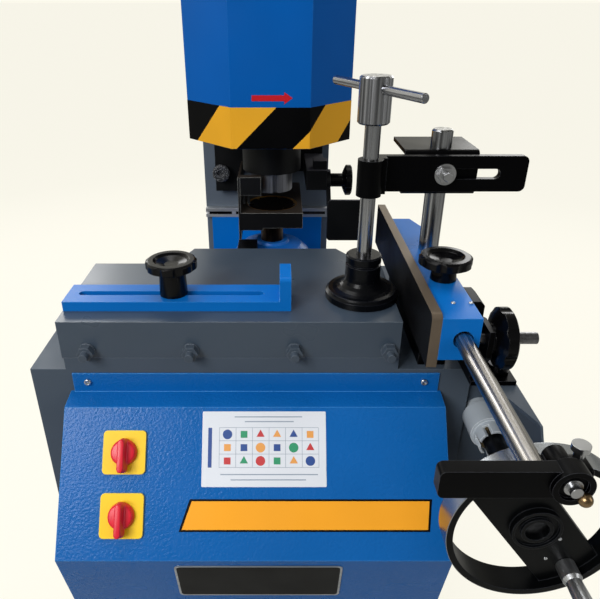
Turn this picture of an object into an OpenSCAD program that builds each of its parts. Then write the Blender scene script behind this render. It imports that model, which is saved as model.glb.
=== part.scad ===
// Tenoning machine: a fixed table with fence and work clamp, and a two-spindle head
// that a handwheel racks sideways past the end of the clamped workpiece.
// Millimetres. X is measured from the cutters' centre plane, Y back from the base's
// front face and Z up from the floor; put() moves that frame to the base's centre.

/* [Base] */
// From the cutters' centre plane to the base's left side
base_left = 288; // [280:1:320]
// From the cutters' centre plane to the base's right side
base_right = 246; // [240:1:256]
// Depth of the base cabinet
base_d = 310; // [300:1:316]
// Height of the deck above the floor
base_h = 785; // [760:5:810]
// Thickness of the cabinet's sheet steel
sheet = 2.5; // [2:0.5:4]
// Depth of the plinth under cabinet and pedestal
plinth_d = 770; // [765:5:800]
// Height of the plinth
plinth_h = 60; // [50:5:80]
// Diameter of the floor anchor holes
anchor_d = 14; // [10:0.5:18]
// Height of the raised seat under the table
seat_h = 16; // [12:1:22]

/* [Table] */
// From the cutters' centre plane to the table's left edge
table_left = 247; // [235:1:255]
// From the cutters' centre plane to the table's right edge
table_right = 156; // [150:1:160]
// Depth of the table's side parts
table_d = 170; // [160:1:180]
// Depth to the rear edge of the tongue
tongue_d = 226; // [215:1:235]
// Height of the table casting
table_h = 49; // [44:1:55]
// Thickness of the table's top
table_top_t = 20; // [14:1:24]

/* [Side stop] */
// Length of the slotted stop bar
stop_bar_l = 273; // [262:1:285]
// Depth of the stop bar
stop_bar_d = 48; // [42:1:52]
// Thickness of the stop bar
stop_bar_t = 12.5; // [10:0.5:16]
// Height of the stop's upright
stop_up_h = 43; // [35:1:55]
// Width of the slot in the stop bar
stop_slot_w = 11; // [10:0.5:14]

/* [Fence] */
// From the cutters' centre plane to the fence's working face
fence_x = 167; // [165:1:170]
// Thickness of the fence plate
fence_t = 11; // [8:1:12]
// Height of the fence plate
fence_h = 62; // [58:1:70]
// Length of the fence plate
fence_l = 361; // [340:1:380]
// Width of the fence bar
bar_w = 41; // [39:1:44]
// Height of the fence bar
bar_h = 49; // [46:1:56]
// Length of the fence bar
bar_l = 306; // [290:1:320]
// Diameter of the length-stop rod
rod_d = 18; // [14:1:20]
// Length of the length-stop rod
rod_l = 318; // [310:1:330]

/* [Work clamp] */
// Diameter of the clamp column
column_d = 25; // [20:1:28]
// Length of the column above the fence bar
column_l = 152; // [145:1:170]
// Diameter of the clamp screw
screw_d = 18; // [14:1:20]
// Diameter of the clamp foot
foot_d = 90; // [80:1:94]
// Height of the clamp foot
foot_h = 57; // [50:1:62]
// Length of the tommy bar
tommy_l = 170; // [140:2:172]

/* [Console] */
// Thickness of the console's sheet steel
console_t = 2; // [1.5:0.5:3]
// Length of the sloped switch face
slope_l = 172.4; // [160:0.4:185]
// Angle of the switch face above the horizontal
slope_a = 52.9; // [48:0.1:58]
// Side of a switch plate
switch_w = 50; // [44:1:54]

/* [Feed] */
// Outer diameter of the handwheel
wheel_d = 180; // [160:2:190]
// Width of the handwheel's rim
rim_w = 28; // [22:1:32]
// Diameter of the feed shaft
shaft_d = 24; // [20:1:25]
// Module of the rack and pinion
gear_m = 2.5; // [2:0.25:2.75]
// Teeth on the pinion
pinion_teeth = 20; // [18:1:22]
// Travel of the head across the table
head_travel = 120; // [90:5:125]

/* [Head] */
// Width of the hood
hood_w = 270; // [264:2:290]
// Height of the hood
hood_h = 472; // [460:4:520]
// Width of the post
post_w = 251; // [245:1:256]
// Depth of the post
post_d = 110; // [95:5:125]
// Height of the post
post_h = 600; // [590:10:660]
// Thickness of the polished saddle plate
saddle_t = 19; // [17:1:24]
// Diameter of the upper spindle's housing
housing_d = 103; // [96:1:108]
// Diameter of the upper cutter head
upper_cutter_d = 75; // [66:1:78]
// Diameter of the lower cutter head
lower_cutter_d = 84; // [74:1:86]
// Diameter of the lower motor
lower_motor_d = 150; // [140:2:156]
// Diameter of the upper motor
upper_motor_d = 170; // [150:2:180]

/* [Fits] */
// Radial clearance of a running fit
run_fit = 0.05; // [0.02:0.01:0.1]
// Gap between bodies that pass each other
gap = 0.3; // [0.3:0.1:0.5]

/* [Hidden] */
$fn = 64;

// Levels
seat_z = base_h + seat_h;
table_z = seat_z + table_h;
// Middle of the base, which put() brings to the origin
mid_x = (base_right - base_left) / 2;
mid_y = plinth_d / 2;

// Floor lugs
lug_w = 44;
lug_l = 60;
lug_t = 12;
lug_in = 30;

// Shaft box and feed shaft
box_w = 42;
box_right = base_right + box_w;
box_z = 600;
box_nose = 107;
shaft_x = base_right + box_w / 2 - 1;
shaft_z = base_h - 68;
sleeve_d = 45;
sleeve_tail_d = 38;
sleeve_out = 56;
bush_d = 32;
bush_l = 20;

// Table fastening
apron_t = 12;
side_apron_t = 6;
table_bolt_d = 10;
table_bolt_x = [-215, -92, 31, table_right - 13];
table_bolt_z = seat_z + 11;

// Rack and pinion
pitch_r = gear_m * pinion_teeth / 2;
rack_t = 20;
rack_y = base_d + 15;
rack_pitch_z = shaft_z - pitch_r;
rack_bottom_z = rack_pitch_z - 20;
rack_left = -60;
rack_right = shaft_x + 19;
pressure_a = 20;
backlash = 0.2;

// Side stop
stop_x = -table_left + 1;
stop_y = 50.5;
stop_knob_x = -116;
stop_stud_d = 10;

// Fence
bar_x = fence_x + fence_t;
bar_front = -74;
bar_z = table_z - 4;
bar_top = bar_z + bar_h;
rod_x = bar_x + 24;
rod_z = bar_z + 24;
rod_lock_y = 23;
lock_stud_d = 10;
pad_t = 14;
bracket_x = bar_x + bar_w + pad_t + gap;
bracket_t = 6;
stud_d = 13;
stud_y = -46;
stud_z = bar_z + 10;
bracket_bolt_x = box_right - 18;
bracket_bolt_y = -14;
bracket_bolt_d = 12;

// Work clamp
column_x = bar_x + 28;
column_y = 115;
column_seat = 10;
clamp_z = bar_top + column_l - 74;
clamp_h = 53;
clamp_front = column_y - column_d / 2 - 9.5;
arm_t = 9;
arm_z = clamp_z + 28;
arm_h = 42;
clamp_bolt_d = 11;
screw_x = 116;
screw_y = 69;
tee_z = clamp_z + 88;
tee_h = 50;
tee_d = 36;
tommy_d = 10;
tommy_a = -65;
foot_socket = 27;
arm_right = column_x + 96;

// Length stop
rod_front = -262;
collar_l = 24;
arm_pivot_x = rod_x + 21;
stop_arm_l = 96;
stop_arm_h = 25;
stop_arm_t = 12;
thumb_x = rod_x + 36;
thumb_d = 8;
pivot_d = 9;
pivot_nut = collar_l - 3 + gap + stop_arm_t + 4 + gap;

// Console
console_left = 243;
console_right = 211;
console_top = base_h - 5;
fold_y = -28.5;
fold_z = console_top - 30;
lip_y = fold_y - slope_l * cos(slope_a);
lip_z = fold_z - slope_l * sin(slope_a);
console_bottom = lip_z - 183;
tuck = 0.232;
switch_x = -168.7;
switch_steps = [52, 123];
switch_plate_t = 3;
switch_stem_d = 8;

// Handwheel
rim_front = -185;
rim_t = 7;
hub_d = 50;
web_w = 65;
web_a = -53;
grip_d = 20;
grip_r = wheel_d / 2 - 20;
grip_x = shaft_x + grip_r * cos(web_a);
grip_z = shaft_z + grip_r * sin(web_a);
pin_d = 9;
grip_front = rim_front - 72;
grip_l = rim_front + 9 - grip_front - 3 - 2 * gap;

// Head
head_y = base_d + 140;
post_left = -138;
post_right = post_left + post_w;
post_y = head_y + 137;
pedestal_y = head_y + 140;
pedestal_d = plinth_d - pedestal_y - 15;
pedestal_z = base_h - 4;
saddle_y = head_y + 122;
saddle_z = pedestal_z + saddle_t;
way_y = pedestal_y + 78;
way_top = 80;
way_foot = 68;
way_h = 9;
way_gap = 0.1;
hood_z = table_z + 128;
hood_front = head_y - 133;
hood_t = 2;
platform_z = table_z;
housing_z = table_z + 65;
housing_h = 195;
spindle_d = 35;
slide_z = table_z + 30;
slide_h = 220;
slide_t = 26;
block_x = 62;
block_w = 36;
guard_z = table_z + 43;
guard_shaft_d = 24;
guard_hub_x = block_x + block_w + gap;
guard_arm_a = 44;
guard_arm_l = 62;
lock_x = -100;
lock_z = slide_z + 1;
way_rail_h = 490;
lower_spindle_d = 42;
ring_d = lower_motor_d + 36;
motor_y = head_y;
lower_motor_l = 235;
upper_motor_l = 250;

// Moves the machine's frame so that the origin is on the floor, under the base's centre.
module put(x, y, z) translate([x - mid_x, y - mid_y, z]) children();

// A box between two corners, in the machine's frame.
module span(a, b) put(a.x, a.y, a.z) cube(b - a);

// Cylinders that run forward or across, from their start.
module rod_along_x(d, l) rotate([0, 90, 0]) cylinder(d = d, h = l);
module rod_along_y(d, l) rotate([-90, 0, 0]) cylinder(d = d, h = l);

// A flat rectangle with round corners, centred.
module round_rect(w, h, r) {
    square([w - 2 * r, h], center = true);
    square([w, h - 2 * r], center = true);
    for (x = [-1, 1], y = [-1, 1])
        translate([x * (w / 2 - r), y * (h / 2 - r)]) circle(r);
}

// A slot with round ends, from x = 0 to x = l.
module slot_outline(l, w) {
    translate([w / 2, -w / 2]) square([l - w, w]);
    translate([w / 2, 0]) circle(d = w);
    translate([l - w / 2, 0]) circle(d = w);
}

// An outline drawn in by t; its points run counter-clockwise.
function unit(v) = v / norm(v);
function inset(p, t) = [
    for (i = [0 : len(p) - 1])
        let (
            before = unit(p[i] - p[(i + len(p) - 1) % len(p)]),
            after = unit(p[(i + 1) % len(p)] - p[i]),
            n1 = [-before.y, before.x],
            n2 = [-after.y, after.x]
        )
        p[i] + t * (n1 + n2) / (1 + n1 * n2)
];

// A dished star knob on a neck, with its seat at the origin and its stud below.
module star_knob(d, neck_d, neck_h, rim_h, lobes, stud_d, stud_l) {
    difference() {
        rotate_extrude() polygon([
            [0, 0], [neck_d / 2, 0], [neck_d / 2 - 1, neck_h - 4], [d / 2 - 6, neck_h],
            [d / 2, neck_h + 3], [d / 2, neck_h + rim_h - 2], [d / 2 - 3, neck_h + rim_h],
            [d / 2 - 9, neck_h + rim_h], [d / 2 - 12, neck_h + rim_h - 3],
            [neck_d / 4, neck_h + rim_h - 6], [0, neck_h + rim_h - 6]
        ]);
        for (i = [0 : lobes - 1])
            rotate([0, 0, (i + 0.5) * 360 / lobes])
                translate([d / 2 + d * 0.145, 0, neck_h - 1])
                    cylinder(d = d * 0.36, h = rim_h + 2);
    }
    translate([0, 0, -stud_l]) cylinder(d = stud_d, h = stud_l + 1);
}

// A bolt or nut head, flat side down.
module hex_head(across, h) cylinder(d = across / cos(30), h = h, $fn = 6);

module base_plinth() color("#3c444b") {
    difference() {
        span([-base_left, 0, 0], [base_right, plinth_d, plinth_h]);
        span([-base_left + 5, 5, -1], [base_right - 5, plinth_d - 5, plinth_h - 5]);
    }
    for (side = [-base_left - lug_w, base_right], y = [lug_in, plinth_d - lug_in - lug_l])
        difference() {
            span([side, y, 0], [side + lug_w, y + lug_l, lug_t]);
            put(side + lug_w / 2, y + lug_l / 2, -1) cylinder(d = anchor_d, h = lug_t + 2);
        }
}

// Cabinet with the raised seat for the table and the strip that its apron is bolted to.
module base_cabinet() color("#444c54") {
    difference() {
        span([-base_left, 0, plinth_h], [base_right, base_d, base_h]);
        span([-base_left + sheet, sheet, plinth_h + sheet],
             [base_right - sheet, base_d - sheet, base_h - 5]);
    }
    difference() {
        span([-table_left + 2, 0, base_h], [table_right, tongue_d - 4, seat_z]);
        span([-table_left + 7, 5, base_h - 1], [table_right - 5, tongue_d - 9, seat_z - 5]);
    }
    difference() {
        span([-table_left + 14, apron_t, seat_z],
             [table_right - side_apron_t - 0.5, apron_t + 10, seat_z + 26]);
        table_bolt_places() rod_along_y(table_bolt_d + 0.2, 60);
    }
}

module table_bolt_places() for (x = table_bolt_x) put(x, -20, table_bolt_z) children();

// Open-bottomed channel on the base's right side that carries the feed shaft.
module shaft_box() color("#444c54") {
    plan = [[base_right, 0], [box_right, -box_nose], [box_right, base_d], [base_right, base_d]];
    cheek = [[-box_nose, base_h], [-box_nose - 14, base_h - 20], [-box_nose - 14, base_h - 70],
             [-10, box_z], [base_d, box_z], [base_d, base_h]];
    difference() {
        put(0, 0, base_h - 5) linear_extrude(5) polygon(plan);
        put(bracket_bolt_x, bracket_bolt_y, base_h - 6)
            cylinder(d = bracket_bolt_d + 0.4, h = 7);
    }
    put(box_right, 0, 0) rotate([90, 0, 0]) rotate([0, -90, 0])
        linear_extrude(sheet) polygon([for (p = cheek) [-p.x, p.y]]);
    for (y = [10, base_d - 12])
        difference() {
            span([base_right, y, box_z], [box_right - sheet, y + 12, base_h - 5]);
            put(shaft_x, y - 1, shaft_z)
                rod_along_y(y < base_d / 2 ? sleeve_tail_d : bush_d, 14);
        }
}

// Grey casting round the feed shaft, stepped down to its scalloped mouth.
module shaft_sleeve() color("#6b737a") difference() {
    put(shaft_x, -sleeve_out, shaft_z) rotate([-90, 0, 0]) difference() {
        union() {
            cylinder(d = sleeve_tail_d, h = sleeve_out + 22);
            translate([0, 0, 20]) cylinder(d = sleeve_d, h = sleeve_out - 21);
        }
        translate([0, 0, -1]) cylinder(d = bush_d, h = sleeve_out + 24);
        for (a = [0 : 60 : 300]) rotate([0, 0, a])
            translate([sleeve_tail_d / 2 + 1, 0, -1]) cylinder(d = 9, h = 15);
    }
    span([box_right - sheet, -sleeve_out, shaft_z - sleeve_d],
         [box_right + sleeve_d, 0, shaft_z + sleeve_d]);
}

// Two bronze bushes, one in the sleeve and one in the rear bulkhead.
module shaft_bushes() color("#b08040")
    for (y = [10 - sleeve_out, base_d - 12])
        put(shaft_x, y, shaft_z) rotate([-90, 0, 0]) difference() {
            cylinder(d = bush_d, h = y < 0 ? bush_l : 14);
            translate([0, 0, -1]) cylinder(d = shaft_d + 2 * run_fit, h = bush_l + 2);
        }

// Bolted block that holds the rack up against the pinion.
module rack_guide() color("#50585f") difference() {
    span([shaft_x - 20, base_d, rack_bottom_z - 18],
         [shaft_x + 20, rack_y + rack_t + 6, rack_bottom_z + 12]);
    span([shaft_x - 21, rack_y - gap, rack_bottom_z - gap],
         [shaft_x + 21, rack_y + rack_t + gap, rack_bottom_z + 13]);
}

// Sloped blue control console; its back stands open against the base.
module console_cover() color("#1b5faf") {
    outline = [
        [0, console_bottom], [0, fold_z + 4], [fold_y, fold_z],
        [lip_y, lip_z], [lip_y + (lip_z - console_bottom) * tuck, console_bottom]
    ];
    inside = [for (p = inset(outline, console_t)) [p.x > -console_t - 0.1 ? 1 : p.x, p.y]];
    difference() {
        console_prism(-console_left, console_right, outline);
        console_prism(-console_left + console_t, console_right - console_t, inside);
        for (d = switch_steps) on_slope(switch_x, d)
            translate([0, 0, -20]) cylinder(d = switch_stem_d + 6, h = 40);
    }
    difference() {
        span([-console_left + 5, -console_t, fold_z + 3], [console_right - 4, 0, console_top]);
        for (x = [-220, 189]) put(x, -10, console_top - 12) rod_along_y(6, 20);
    }
}

module console_prism(x0, x1, outline)
    put(x0, 0, 0) rotate([90, 0, 90]) linear_extrude(x1 - x0) polygon(outline);

// A place on the switch face, d down from the upper fold, with Z out of the face.
module on_slope(x, d) put(x, fold_y, fold_z) rotate([slope_a, 0, 0]) translate([0, -d, 0])
    children();

module switch_plates() color("#f0c818") for (d = switch_steps) on_slope(switch_x, d)
    difference() {
        linear_extrude(switch_plate_t) round_rect(switch_w, switch_w, 5);
        translate([0, 0, -1]) cylinder(d = switch_stem_d + 2 * run_fit, h = 6);
    }

// Contact blocks of the two rotary switches, behind the console's face.
module switch_bodies() color("#222222") for (d = switch_steps) on_slope(switch_x, d)
    difference() {
        translate([-19, -19, -console_t - 38]) cube([38, 38, 38]);
        translate([0, 0, -console_t - 14]) cylinder(d = switch_stem_d + 1, h = 20);
    }

module switch_knob(d) color("#d81e3c") on_slope(switch_x, d) {
    translate([0, 0, switch_plate_t + gap]) {
        cylinder(d = 30, h = 7);
        translate([0, 0, 6]) linear_extrude(12) {
            square([10, 22], center = true);
            translate([0, 11]) circle(d = 10);
            translate([0, -11]) circle(d = 10);
        }
    }
    translate([0, 0, -console_t - 8]) cylinder(d = switch_stem_d, h = 16);
}
module upper_switch_knob() switch_knob(switch_steps[0]);
module lower_switch_knob() switch_knob(switch_steps[1]);

// Table casting: a top with an apron all round, hollow underneath.
module table() color("#5b6268") difference() {
    put(0, 0, seat_z) linear_extrude(table_h) polygon([
        [-table_left, 0], [table_right, 0], [table_right, table_d], [table_right - 23, table_d],
        [table_right - 58, tongue_d], [-table_left + 133, tongue_d],
        [-table_left + 112, table_d], [-table_left, table_d]
    ]);
    difference() {
        union() {
            span([-table_left + apron_t, apron_t, seat_z - 1],
                 [table_right - side_apron_t, table_d - apron_t, table_z - table_top_t]);
            span([-table_left + 145, apron_t, seat_z - 1],
                 [table_right - 70, tongue_d - apron_t, table_z - table_top_t]);
        }
        put(stop_knob_x, stop_y, seat_z) cylinder(d = 32, h = table_h);
    }
    put(stop_knob_x, stop_y, seat_z - 1)
        cylinder(d = stop_stud_d + 2 * run_fit, h = table_h + 2);
    table_bolt_places() rod_along_y(table_bolt_d + 1, 20 + apron_t + 1);
}

// Studs through the apron, each with a washer and a nut.
module table_bolts() color("#4a5258") table_bolt_places() {
    rod_along_y(table_bolt_d, 45);
    translate([0, 18, 0]) rod_along_y(20, 2);
    translate([0, 9, 0]) rotate([-90, 0, 0]) hex_head(17, 9);
}

// Slotted blue stop with its upright.
module side_stop() color("#1b5faf") difference() {
    union() {
        span([stop_x, stop_y - stop_bar_d / 2, table_z],
             [stop_x + stop_bar_l, stop_y + stop_bar_d / 2, table_z + stop_bar_t]);
        put(stop_x + stop_bar_l, stop_y, table_z) rotate([0, -90, 0]) linear_extrude(13.6)
            translate([stop_up_h / 2, 0]) round_rect(stop_up_h, stop_bar_d, 5);
        span([stop_x + stop_bar_l - 13.6, stop_y - stop_bar_d / 2, table_z],
             [stop_x + stop_bar_l, stop_y + stop_bar_d / 2, table_z + 12]);
    }
    put(stop_x + 14, stop_y, table_z - 1) linear_extrude(stop_bar_t + 2)
        slot_outline(stop_bar_l - 47, stop_slot_w);
}

module side_stop_knob() color("#1c1c1e") put(stop_knob_x, stop_y, table_z + stop_bar_t + 0.1)
    star_knob(61, 34, 32, 13, 8, stop_stud_d, stop_bar_t + table_h - 4);

module fence_riser() color("#30363b")
    span([bar_x + 4, 10, base_h], [bar_x + bar_w - 4, 225, bar_z]);

// Angle on the shaft box that the fence bar is clamped against.
module fence_bracket() color("#1f2326") difference() {
    union() {
        span([bracket_x, -34, base_h], [box_right - 2, 44, base_h + bracket_t]);
        put(bracket_x, 0, 0) rotate([90, 0, 90]) linear_extrude(bracket_t) polygon([
            [-20, base_h], [44, base_h], [44, stud_z - 10], [stud_y + 16, stud_z + 16],
            [stud_y - 16, stud_z + 16], [stud_y - 16, stud_z - 16]
        ]);
    }
    put(bracket_x - 1, stud_y, stud_z) rod_along_x(stud_d + 2 * gap, bracket_t + 2);
    put(bracket_bolt_x, bracket_bolt_y, base_h - 1) cylinder(d = bracket_bolt_d + 0.4, h = bracket_t + 2);
}

module fence_bracket_bolt() color("#1a1a1c") put(bracket_bolt_x, bracket_bolt_y, base_h) {
    translate([0, 0, -12]) cylinder(d = bracket_bolt_d, h = bracket_t + 14);
    translate([0, 0, bracket_t]) difference() {
        cylinder(d = 25, h = 13);
        translate([0, 0, 6]) cylinder(d = 12, h = 8, $fn = 6);
    }
}

module fence_plate() color("#26282b")
    put(fence_x, bar_front, table_z - 13) rotate([90, 0, 90]) linear_extrude(fence_t) {
        translate([0, 0]) square([fence_l, fence_h - 7]);
        translate([7, 0]) square([fence_l - 7, fence_h]);
        translate([7, fence_h - 7]) circle(7);
    }

module fence_bar() color("#1f74c4") difference() {
    put(bar_x, bar_front, bar_z) linear_extrude(bar_h) polygon([
        [0, 0], [bar_w, 0], [bar_w, bar_l - 45], [bar_w - 14, bar_l], [0, bar_l]
    ]);
    put(rod_x, bar_front - 1, rod_z) rod_along_y(rod_d + 2 * run_fit, bar_l - 5);
    put(rod_x, bar_front - 1, rod_z) rod_along_y(rod_d + 3, 6);
    put(rod_x, rod_lock_y, rod_z) cylinder(d = lock_stud_d + 2 * run_fit, h = bar_h);
    put(column_x, column_y, bar_top - column_seat)
        cylinder(d = column_d + 2 * run_fit, h = column_seat + 1);
    put(bar_x + bar_w - 8, stud_y, stud_z) rod_along_x(stud_d, 10);
}

module fence_pad() color("#3c4043") put(bar_x + bar_w, stud_y + 46, bar_z + 6)
    rotate([90, 0, 0]) linear_extrude(36) polygon([
        [0, 0], [pad_t, 0], [pad_t, bar_h - 11], [pad_t - 5, bar_h - 6], [0, bar_h - 6]
    ]);

module fence_stud() color("#9aa0a5") put(bar_x + bar_w - 8, stud_y, stud_z)
    rod_along_x(stud_d, 80);

module fence_star_nut() color("#1c1c1e") put(bracket_x + bracket_t + gap, stud_y, stud_z)
    rotate([0, 90, 0]) difference() {
        star_knob(68, 34, 6, 15, 7, 20, 0);
        translate([0, 0, -2]) cylinder(d = stud_d + 2 * run_fit, h = 30);
    }

module rod_lock_knob() color("#1c1c1e") put(rod_x, rod_lock_y, bar_top + gap)
    star_knob(60, 30, 16, 13, 8, lock_stud_d, bar_top - rod_z - rod_d / 2);

// Work clamp
module clamp_column() color("#c4c8cc") put(column_x, column_y, bar_top - column_seat) {
    cylinder(d = column_d, h = column_seat + column_l - 2);
    translate([0, 0, column_seat + column_l - 2])
        cylinder(d1 = column_d, d2 = column_d - 4, h = 2);
}

// Channel of bent plate that slides and swings on the column.
module clamp_bracket() color("#1c1c1e") difference() {
    put(column_x - 46, clamp_front, clamp_z) rotate([90, 0, 90]) linear_extrude(87)
        difference() {
            union() {
                translate([8, 0]) square([72, clamp_h]);
                translate([0, 8]) square([80, clamp_h - 16]);
                for (z = [8, clamp_h - 8]) translate([8, z]) circle(8);
                translate([8, 0]) square([72, 8]);
            }
            translate([8, 5]) square([80, clamp_h - 10]);
            translate([5, 8]) square([80, clamp_h - 16]);
            for (z = [8, clamp_h - 8]) translate([8, z]) circle(3);
        }
    put(column_x, column_y, clamp_z - 1) cylinder(d = column_d + 2 * run_fit, h = clamp_h + 2);
    put(column_x, clamp_front - 1, arm_z) rod_along_y(clamp_bolt_d, 8);
}

// Clamping bolt with its washer and nut.
module clamp_bolt() color("#a9adb1") {
    put(column_x, clamp_front - arm_t - gap - 12, arm_z)
        rod_along_y(clamp_bolt_d, 12 + arm_t + gap + 9);
    put(column_x, clamp_front - arm_t - gap - 3, arm_z) rod_along_y(25, 3);
    put(column_x, clamp_front - arm_t - gap - 9, arm_z) rotate([-90, 0, 0]) hex_head(17, 6);
}

// Slotted arm with the threaded boss at its left end.
module clamp_arm() color("#17181a") difference() {
    union() {
        put(screw_x, clamp_front - gap / 2, arm_z) rotate([90, 0, 0]) linear_extrude(arm_t)
            translate([(arm_right - screw_x) / 2, 0])
                round_rect(arm_right - screw_x, arm_h, 7);
        put(screw_x, screw_y, arm_z - arm_h / 2) cylinder(d = 29, h = arm_h);
        span([screw_x, screw_y + 4, arm_z - arm_h / 2],
             [screw_x + 20, clamp_front - gap / 2, arm_z + arm_h / 2]);
    }
    put(column_x - 7, clamp_front + 1, arm_z) rotate([90, 0, 0])
        linear_extrude(arm_t + 10) slot_outline(72, clamp_bolt_d + 1);
    put(screw_x, screw_y, arm_z - arm_h) cylinder(d = screw_d + 2 * run_fit, h = 2 * arm_h);
}

// Bell-shaped foot that swivels on the end of the screw.
module clamp_foot() color("#161618") put(screw_x, screw_y, table_z) difference() {
    rotate_extrude() polygon(concat(
        [[0, 0], [foot_d / 2, 0], [foot_d / 2, 8], [foot_d / 2 - 2, 10]],
        [for (a = [0 : 15 : 90]) [21.5 + (foot_d / 2 - 25) * (1 - sin(a)), 29 - 17 * cos(a)]],
        [[21.5, foot_h - 13], [19.5, foot_h - 12], [19.5, foot_h - 10], [21.5, foot_h - 9],
         [21.5, foot_h - 1.5], [20, foot_h], [0, foot_h]]
    ));
    translate([0, 0, foot_h - foot_socket]) cylinder(d = screw_d + 2 * run_fit, h = foot_h);
    translate([0, 0, -1]) cylinder(d1 = foot_d - 20, d2 = foot_d - 26, h = 4);
}

module clamp_screw() color("#c4c8cc") put(screw_x, screw_y, table_z + foot_h - foot_socket + gap)
    cylinder(d = screw_d, h = tee_z + 20 - table_z - foot_h + foot_socket - gap);

module clamp_tee_head() color("#b9bdc1") put(screw_x, screw_y, tee_z) difference() {
    union() {
        translate([0, 0, 2]) cylinder(d = tee_d, h = tee_h - 4);
        cylinder(d1 = tee_d - 4, d2 = tee_d, h = 2);
        translate([0, 0, tee_h - 2]) cylinder(d1 = tee_d, d2 = tee_d - 4, h = 2);
    }
    translate([0, 0, -1]) cylinder(d = screw_d, h = 21);
    translate([0, 0, tee_h - 13]) rotate([0, 0, tommy_a])
        translate([-tee_d, 0, 0]) rod_along_x(tommy_d, 2 * tee_d);
}

module clamp_tommy_bar() color("#b9bdc1") put(screw_x, screw_y, tee_z + tee_h - 13)
    rotate([0, 0, tommy_a]) rotate([0, 90, 0]) {
        translate([0, 0, -tommy_l / 2 + 1]) cylinder(d = tommy_d, h = tommy_l - 2);
        translate([0, 0, -tommy_l / 2]) cylinder(d1 = tommy_d - 2, d2 = tommy_d, h = 1);
        translate([0, 0, tommy_l / 2 - 1]) cylinder(d1 = tommy_d, d2 = tommy_d - 2, h = 1);
    }

// Length stop
module stop_rod() color("#c4c8cc") put(rod_x, rod_front, rod_z) rod_along_y(rod_d, rod_l);

module stop_collar() color("#161618") difference() {
    union() {
        put(rod_x, rod_front - 2, rod_z) rod_along_y(34, collar_l + 2);
        span([rod_x, rod_front, rod_z - 13], [thumb_x + 9, rod_front + collar_l, rod_z + 8]);
    }
    put(rod_x, rod_front, rod_z) rod_along_y(rod_d, collar_l + 1);
    put(arm_pivot_x, rod_front - 1, rod_z) rod_along_y(pivot_d, collar_l - 4);
    put(thumb_x, rod_front + 11, rod_z - 8) cylinder(d = thumb_d + 2 * run_fit, h = 40);
}

module stop_pivot() color("#b9bdc1") put(arm_pivot_x, rod_front + collar_l - 5, rod_z)
    rotate([90, 0, 0]) {
        cylinder(d = pivot_d, h = pivot_nut + 4);
        translate([0, 0, pivot_nut - 3]) cylinder(d = 14, h = 1.5);
    }

// Flip-up arm that the end of the work is set against.
module stop_arm() color("#121214") difference() {
    union() {
        put(arm_pivot_x - stop_arm_l, rod_front - 2 - gap, rod_z) rotate([90, 0, 0])
            linear_extrude(stop_arm_t) translate([stop_arm_l / 2, 0])
                round_rect(stop_arm_l, stop_arm_h, 5);
        put(arm_pivot_x, rod_front - 2 - gap, rod_z) rotate([90, 0, 0])
            cylinder(d = 31, h = stop_arm_t + 4);
    }
    put(arm_pivot_x, rod_front, rod_z) rotate([90, 0, 0])
        cylinder(d = pivot_d + 2 * run_fit, h = 40);
    put(arm_pivot_x, rod_front - 2 - gap - stop_arm_t - 1, rod_z) rotate([90, 0, 0])
        cylinder(d = 22, h = 10);
}

module stop_thumb_bolt() color("#b9bdc1") put(thumb_x, rod_front + 11, rod_z - 7) {
    cylinder(d = thumb_d, h = 18);
    translate([0, 0, 18]) cylinder(d = 14, h = 5);
}

// Feed
module feed_shaft() color("#5a5f63") put(shaft_x, rim_front + 8, shaft_z)
    rod_along_y(shaft_d, rack_y + rack_t + 3 - rim_front - 8);

// One flank point of the involute at roll angle t, for base radius r.
function involute(r, t) = r * [cos(t) + t * PI / 180 * sin(t), sin(t) - t * PI / 180 * cos(t)];
function roll_at(r, tip) = sqrt(pow(tip / r, 2) - 1) * 180 / PI;

// Outline of an involute gear, tooth by tooth.
function gear_outline(m, n, a, thin) =
    let (
        pitch = m * n / 2,
        base = pitch * cos(a),
        tip = pitch + m,
        root = pitch - 1.25 * m,
        steps = 5,
        last = roll_at(base, tip),
        flank = [for (i = [0 : steps]) involute(base, last * i / steps)],
        at_pitch = involute(base, roll_at(base, pitch)),
        lead = atan2(at_pitch.y, at_pitch.x),
        half = 90 / n - thin / pitch * 90 / PI
    )
    [for (k = [0 : n - 1])
        let (
            mid = k * 360 / n,
            right = [for (p = flank) turned(p, mid - half - lead)],
            left = [for (i = [steps : -1 : 0])
                turned([flank[i].x, -flank[i].y], mid + half + lead)],
            foot_a = root * [cos(mid - half - lead), sin(mid - half - lead)],
            foot_b = root * [cos(mid + half + lead), sin(mid + half + lead)]
        )
        each concat([foot_a], right, left, [foot_b])];
function turned(p, a) = [p.x * cos(a) - p.y * sin(a), p.x * sin(a) + p.y * cos(a)];

module feed_pinion() color("#8a8f93") put(shaft_x, rack_y + rack_t, shaft_z)
    rotate([90, 0, 0]) difference() {
        linear_extrude(rack_t)
            rotate(-90) polygon(gear_outline(gear_m, pinion_teeth, pressure_a, backlash));
        translate([0, 0, -1]) cylinder(d = shaft_d, h = rack_t + 2);
    }

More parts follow.
